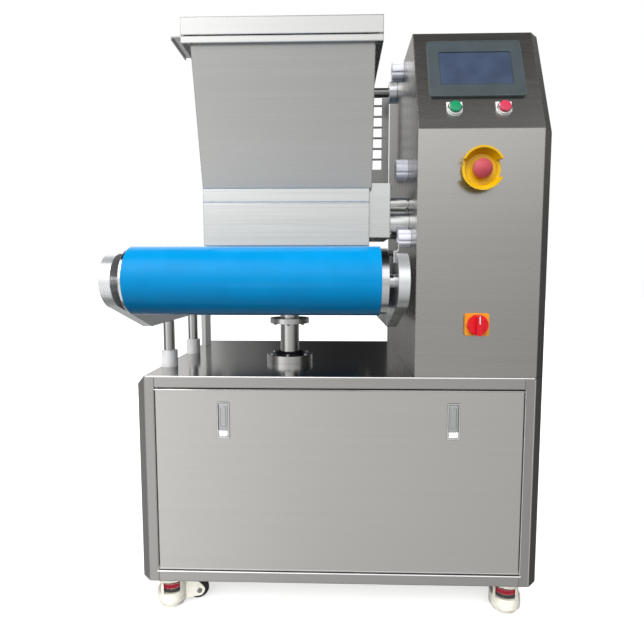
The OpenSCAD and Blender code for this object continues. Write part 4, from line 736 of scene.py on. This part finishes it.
# breakers in a row over the upper duct: body, nose and toggle
breaker = {"count": 9, "from": -190, "up": 310, "width": 17.5, "pitch": 18.025, "body": 46, "bodyOut": 44,
           "nose": 24, "noseOut": 58, "toggle": (9, 8, 1), "toggleOut": 65, "toggleUp": 3, "ease": 1.5}
breakers, toggles = bmesh.new(), bmesh.new()
w, ease = breaker["width"], breaker["ease"]
for i in range(breaker["count"]):
    spot = Vector((breaker["from"] + breaker["pitch"] * i, duct["plateY"], panelFoot.z + breaker["up"]))
    easedBlock(breakers, w, breaker["body"], 1, 0, breaker["bodyOut"], ease, spot, *frontWay)
    easedBlock(breakers, w, breaker["nose"], 1, breaker["bodyOut"] - 1, breaker["noseOut"], ease, spot,
               *frontWay)
    easedBlock(toggles, *breaker["toggle"], breaker["noseOut"] - 1, breaker["toggleOut"], 1,
               spot + Vector((0, 0, breaker["toggleUp"])), *frontWay)
newPiece("breakers", breakers, legendWhite, "base")
newPiece("breaker_toggles", toggles, drivesDark, "base")
print("depositor: back and inside dressed")

# stage: a pale floor, lit from within a little so that it stays white to the horizon
studio = {"floor": "#F4F4F2", "half": 14.0, "glow": 0.55, "roughness": 0.9, "gloss": 0.1}
floorMesh = bpy.data.meshes.new("studio_floor")
half = studio["half"]
floorMesh.from_pydata([(-half, -half, 0), (half, -half, 0), (half, half, 0), (-half, half, 0)], [],
                      [(0, 1, 2, 3)])
floorPiece = bpy.data.objects.new("studio_floor", floorMesh)
scene.collection.objects.link(floorPiece)
floorMesh.materials.append(newFinish("paper_floor", studio["floor"], 0.0, studio["roughness"],
                                     Emission_Color=(1, 1, 1, 1), Emission_Strength=studio["glow"],
                                     Specular_IOR_Level=studio["gloss"])[0])
floorPiece.visible_glossy = floorPiece.visible_diffuse = False

# soft lamps give the shade on plastics; the metals mirror only the room
lamps = {
    "overhead": {"at": (-0.6, -2.6, 3.3), "to": (0, 0, 0.6), "size": 3.2, "power": 100, "spread": 180},
    "left": {"at": (-3.0, -2.4, 1.8), "to": (0, 0, 0.7), "size": 2.2, "power": 20, "spread": 180},
    "right": {"at": (2.8, -2.8, 1.4), "to": (0, 0, 0.7), "size": 1.6, "power": 8, "spread": 180},
    "low": {"at": (-0.3, -2.0, 0.10), "to": (0, 0, 0.04), "size": 0.9, "power": 2.2, "spread": 40},
}
for name, lamp in lamps.items():
    lampData = bpy.data.lights.new(name, "AREA")
    lampData.size, lampData.energy = lamp["size"], lamp["power"]
    lampData.spread = math.radians(lamp["spread"])
    soft = bpy.data.objects.new(name, lampData)
    soft.location = lamp["at"]
    soft.rotation_euler = (Vector(lamp["to"]) - Vector(lamp["at"])).to_track_quat("-Z", "Y").to_euler()
    soft.visible_glossy = False
    scene.collection.objects.link(soft)

# room that the metals mirror: brightest at the front left and well above the horizon, dim straight to either
# side and overhead, dark behind but for a bright patch on the left and a paler one on the right, and with a
# skylight at the front left
# upward goes from straight down to straight up, round from behind by left, front and right to behind
room = {"upward": [(0.0, 0.30), (0.24, 0.48), (0.365, 0.51), (0.42, 0.41), (0.493, 0.56), (0.534, 0.51),
                   (0.56, 0.55), (0.62, 0.93), (0.74, 1.0), (0.82, 1.0), (0.88, 0.5), (0.92, 0.15),
                   (0.95, 0.05), (0.97, 0.03)],
        "round": [(0.0, 0.03), (0.015, 0.05), (0.026, 0.2), (0.034, 0.26), (0.043, 0.82), (0.055, 0.95),
                  (0.19, 0.6), (0.25, 0.24), (0.33, 0.5), (0.36, 1.8), (0.4, 1.8), (0.45, 1.3), (0.5, 1.0),
                  (0.55, 0.95), (0.625, 0.6), (0.75, 0.24), (0.81, 0.15), (0.85, 0.03), (0.868, 0.05),
                  (0.885, 0.42), (0.95, 0.5), (0.972, 0.2), (0.985, 0.03)],
        "level": 1.32, "domeFrom": 0.3, "domeTo": 0.8, "below": 0.03, "above": 0.8,
        "skylight": {"way": (-0.43, -0.49, 0.76), "near": 0.985, "far": 0.92, "level": 1.5}}
white = (1, 1, 1, 1)
sky = bpy.data.worlds.new("room")
scene.world = sky
sky.use_nodes = True
air = sky.node_tree
look = addNode(air, "ShaderNodeTexCoord").outputs["Generated"]
split = addNode(air, "ShaderNodeSeparateXYZ", {"Vector": look})
height = addNode(air, "ShaderNodeMapRange", {"Value": split.outputs["Z"], "From Min": -1.0, "From Max": 1.0})
ahead = addNode(air, "ShaderNodeMath", {0: split.outputs["Y"], 1: -1.0}, operation="MULTIPLY")
turn = addNode(air, "ShaderNodeMath", {0: split.outputs["X"], 1: ahead.outputs[0]}, operation="ARCTAN2")
bearing = addNode(air, "ShaderNodeMapRange", {"Value": turn.outputs[0], "From Min": -math.pi,
                                              "From Max": math.pi})


def band(factor, levels):
    ramp = addNode(air, "ShaderNodeValToRGB", {"Fac": factor})
    stops = ramp.color_ramp.elements
    while len(stops) < len(levels):
        stops.new(0.5)
    for stop, (at, level) in zip(stops, levels):
        stop.position, stop.color = at, (level, level, level, 1)
    return ramp.outputs["Color"]


walls = addNode(air, "ShaderNodeMix", {0: 1.0, 6: band(height.outputs[0], room["upward"]),
                                       7: band(bearing.outputs[0], room["round"])},
                data_type="RGBA", blend_type="MULTIPLY")
glass = room["skylight"]
aim = addNode(air, "ShaderNodeVectorMath", {0: look, 1: Vector(glass["way"]).normalized()},
              operation="DOT_PRODUCT")
pane = addNode(air, "ShaderNodeMapRange", {"Value": aim.outputs["Value"], "From Min": glass["far"],
                                           "From Max": glass["near"], "To Max": glass["level"]})
opened = addNode(air, "ShaderNodeMix", {0: 1.0, 6: walls.outputs[2], 7: pane.outputs[0]},
                 data_type="RGBA", blend_type="ADD")
mirror = addNode(air, "ShaderNodeBackground", {"Color": opened.outputs[2], "Strength": room["level"]})

# plastics are lit by a plain dome, brighter upward, and the camera sees white paper
shade = addNode(air, "ShaderNodeMapRange", {"Value": height.outputs[0], "From Min": room["domeFrom"],
                                            "From Max": room["domeTo"], "To Min": room["below"],
                                            "To Max": room["above"]})
dome = addNode(air, "ShaderNodeBackground", {"Color": white, "Strength": shade.outputs[0]})
paper = addNode(air, "ShaderNodeBackground", {"Color": white})
light = addNode(air, "ShaderNodeLightPath")
matt = addNode(air, "ShaderNodeMixShader", {0: light.outputs["Is Diffuse Ray"], 1: mirror.outputs[0],
                                            2: dome.outputs[0]})
sight = addNode(air, "ShaderNodeMixShader", {0: light.outputs["Is Camera Ray"], 1: matt.outputs[0],
                                             2: paper.outputs[0]})
air.links.new(sight.outputs[0], air.nodes["World Output"].inputs["Surface"])
scene.view_settings.view_transform = "Standard"
print("depositor: studio lit")
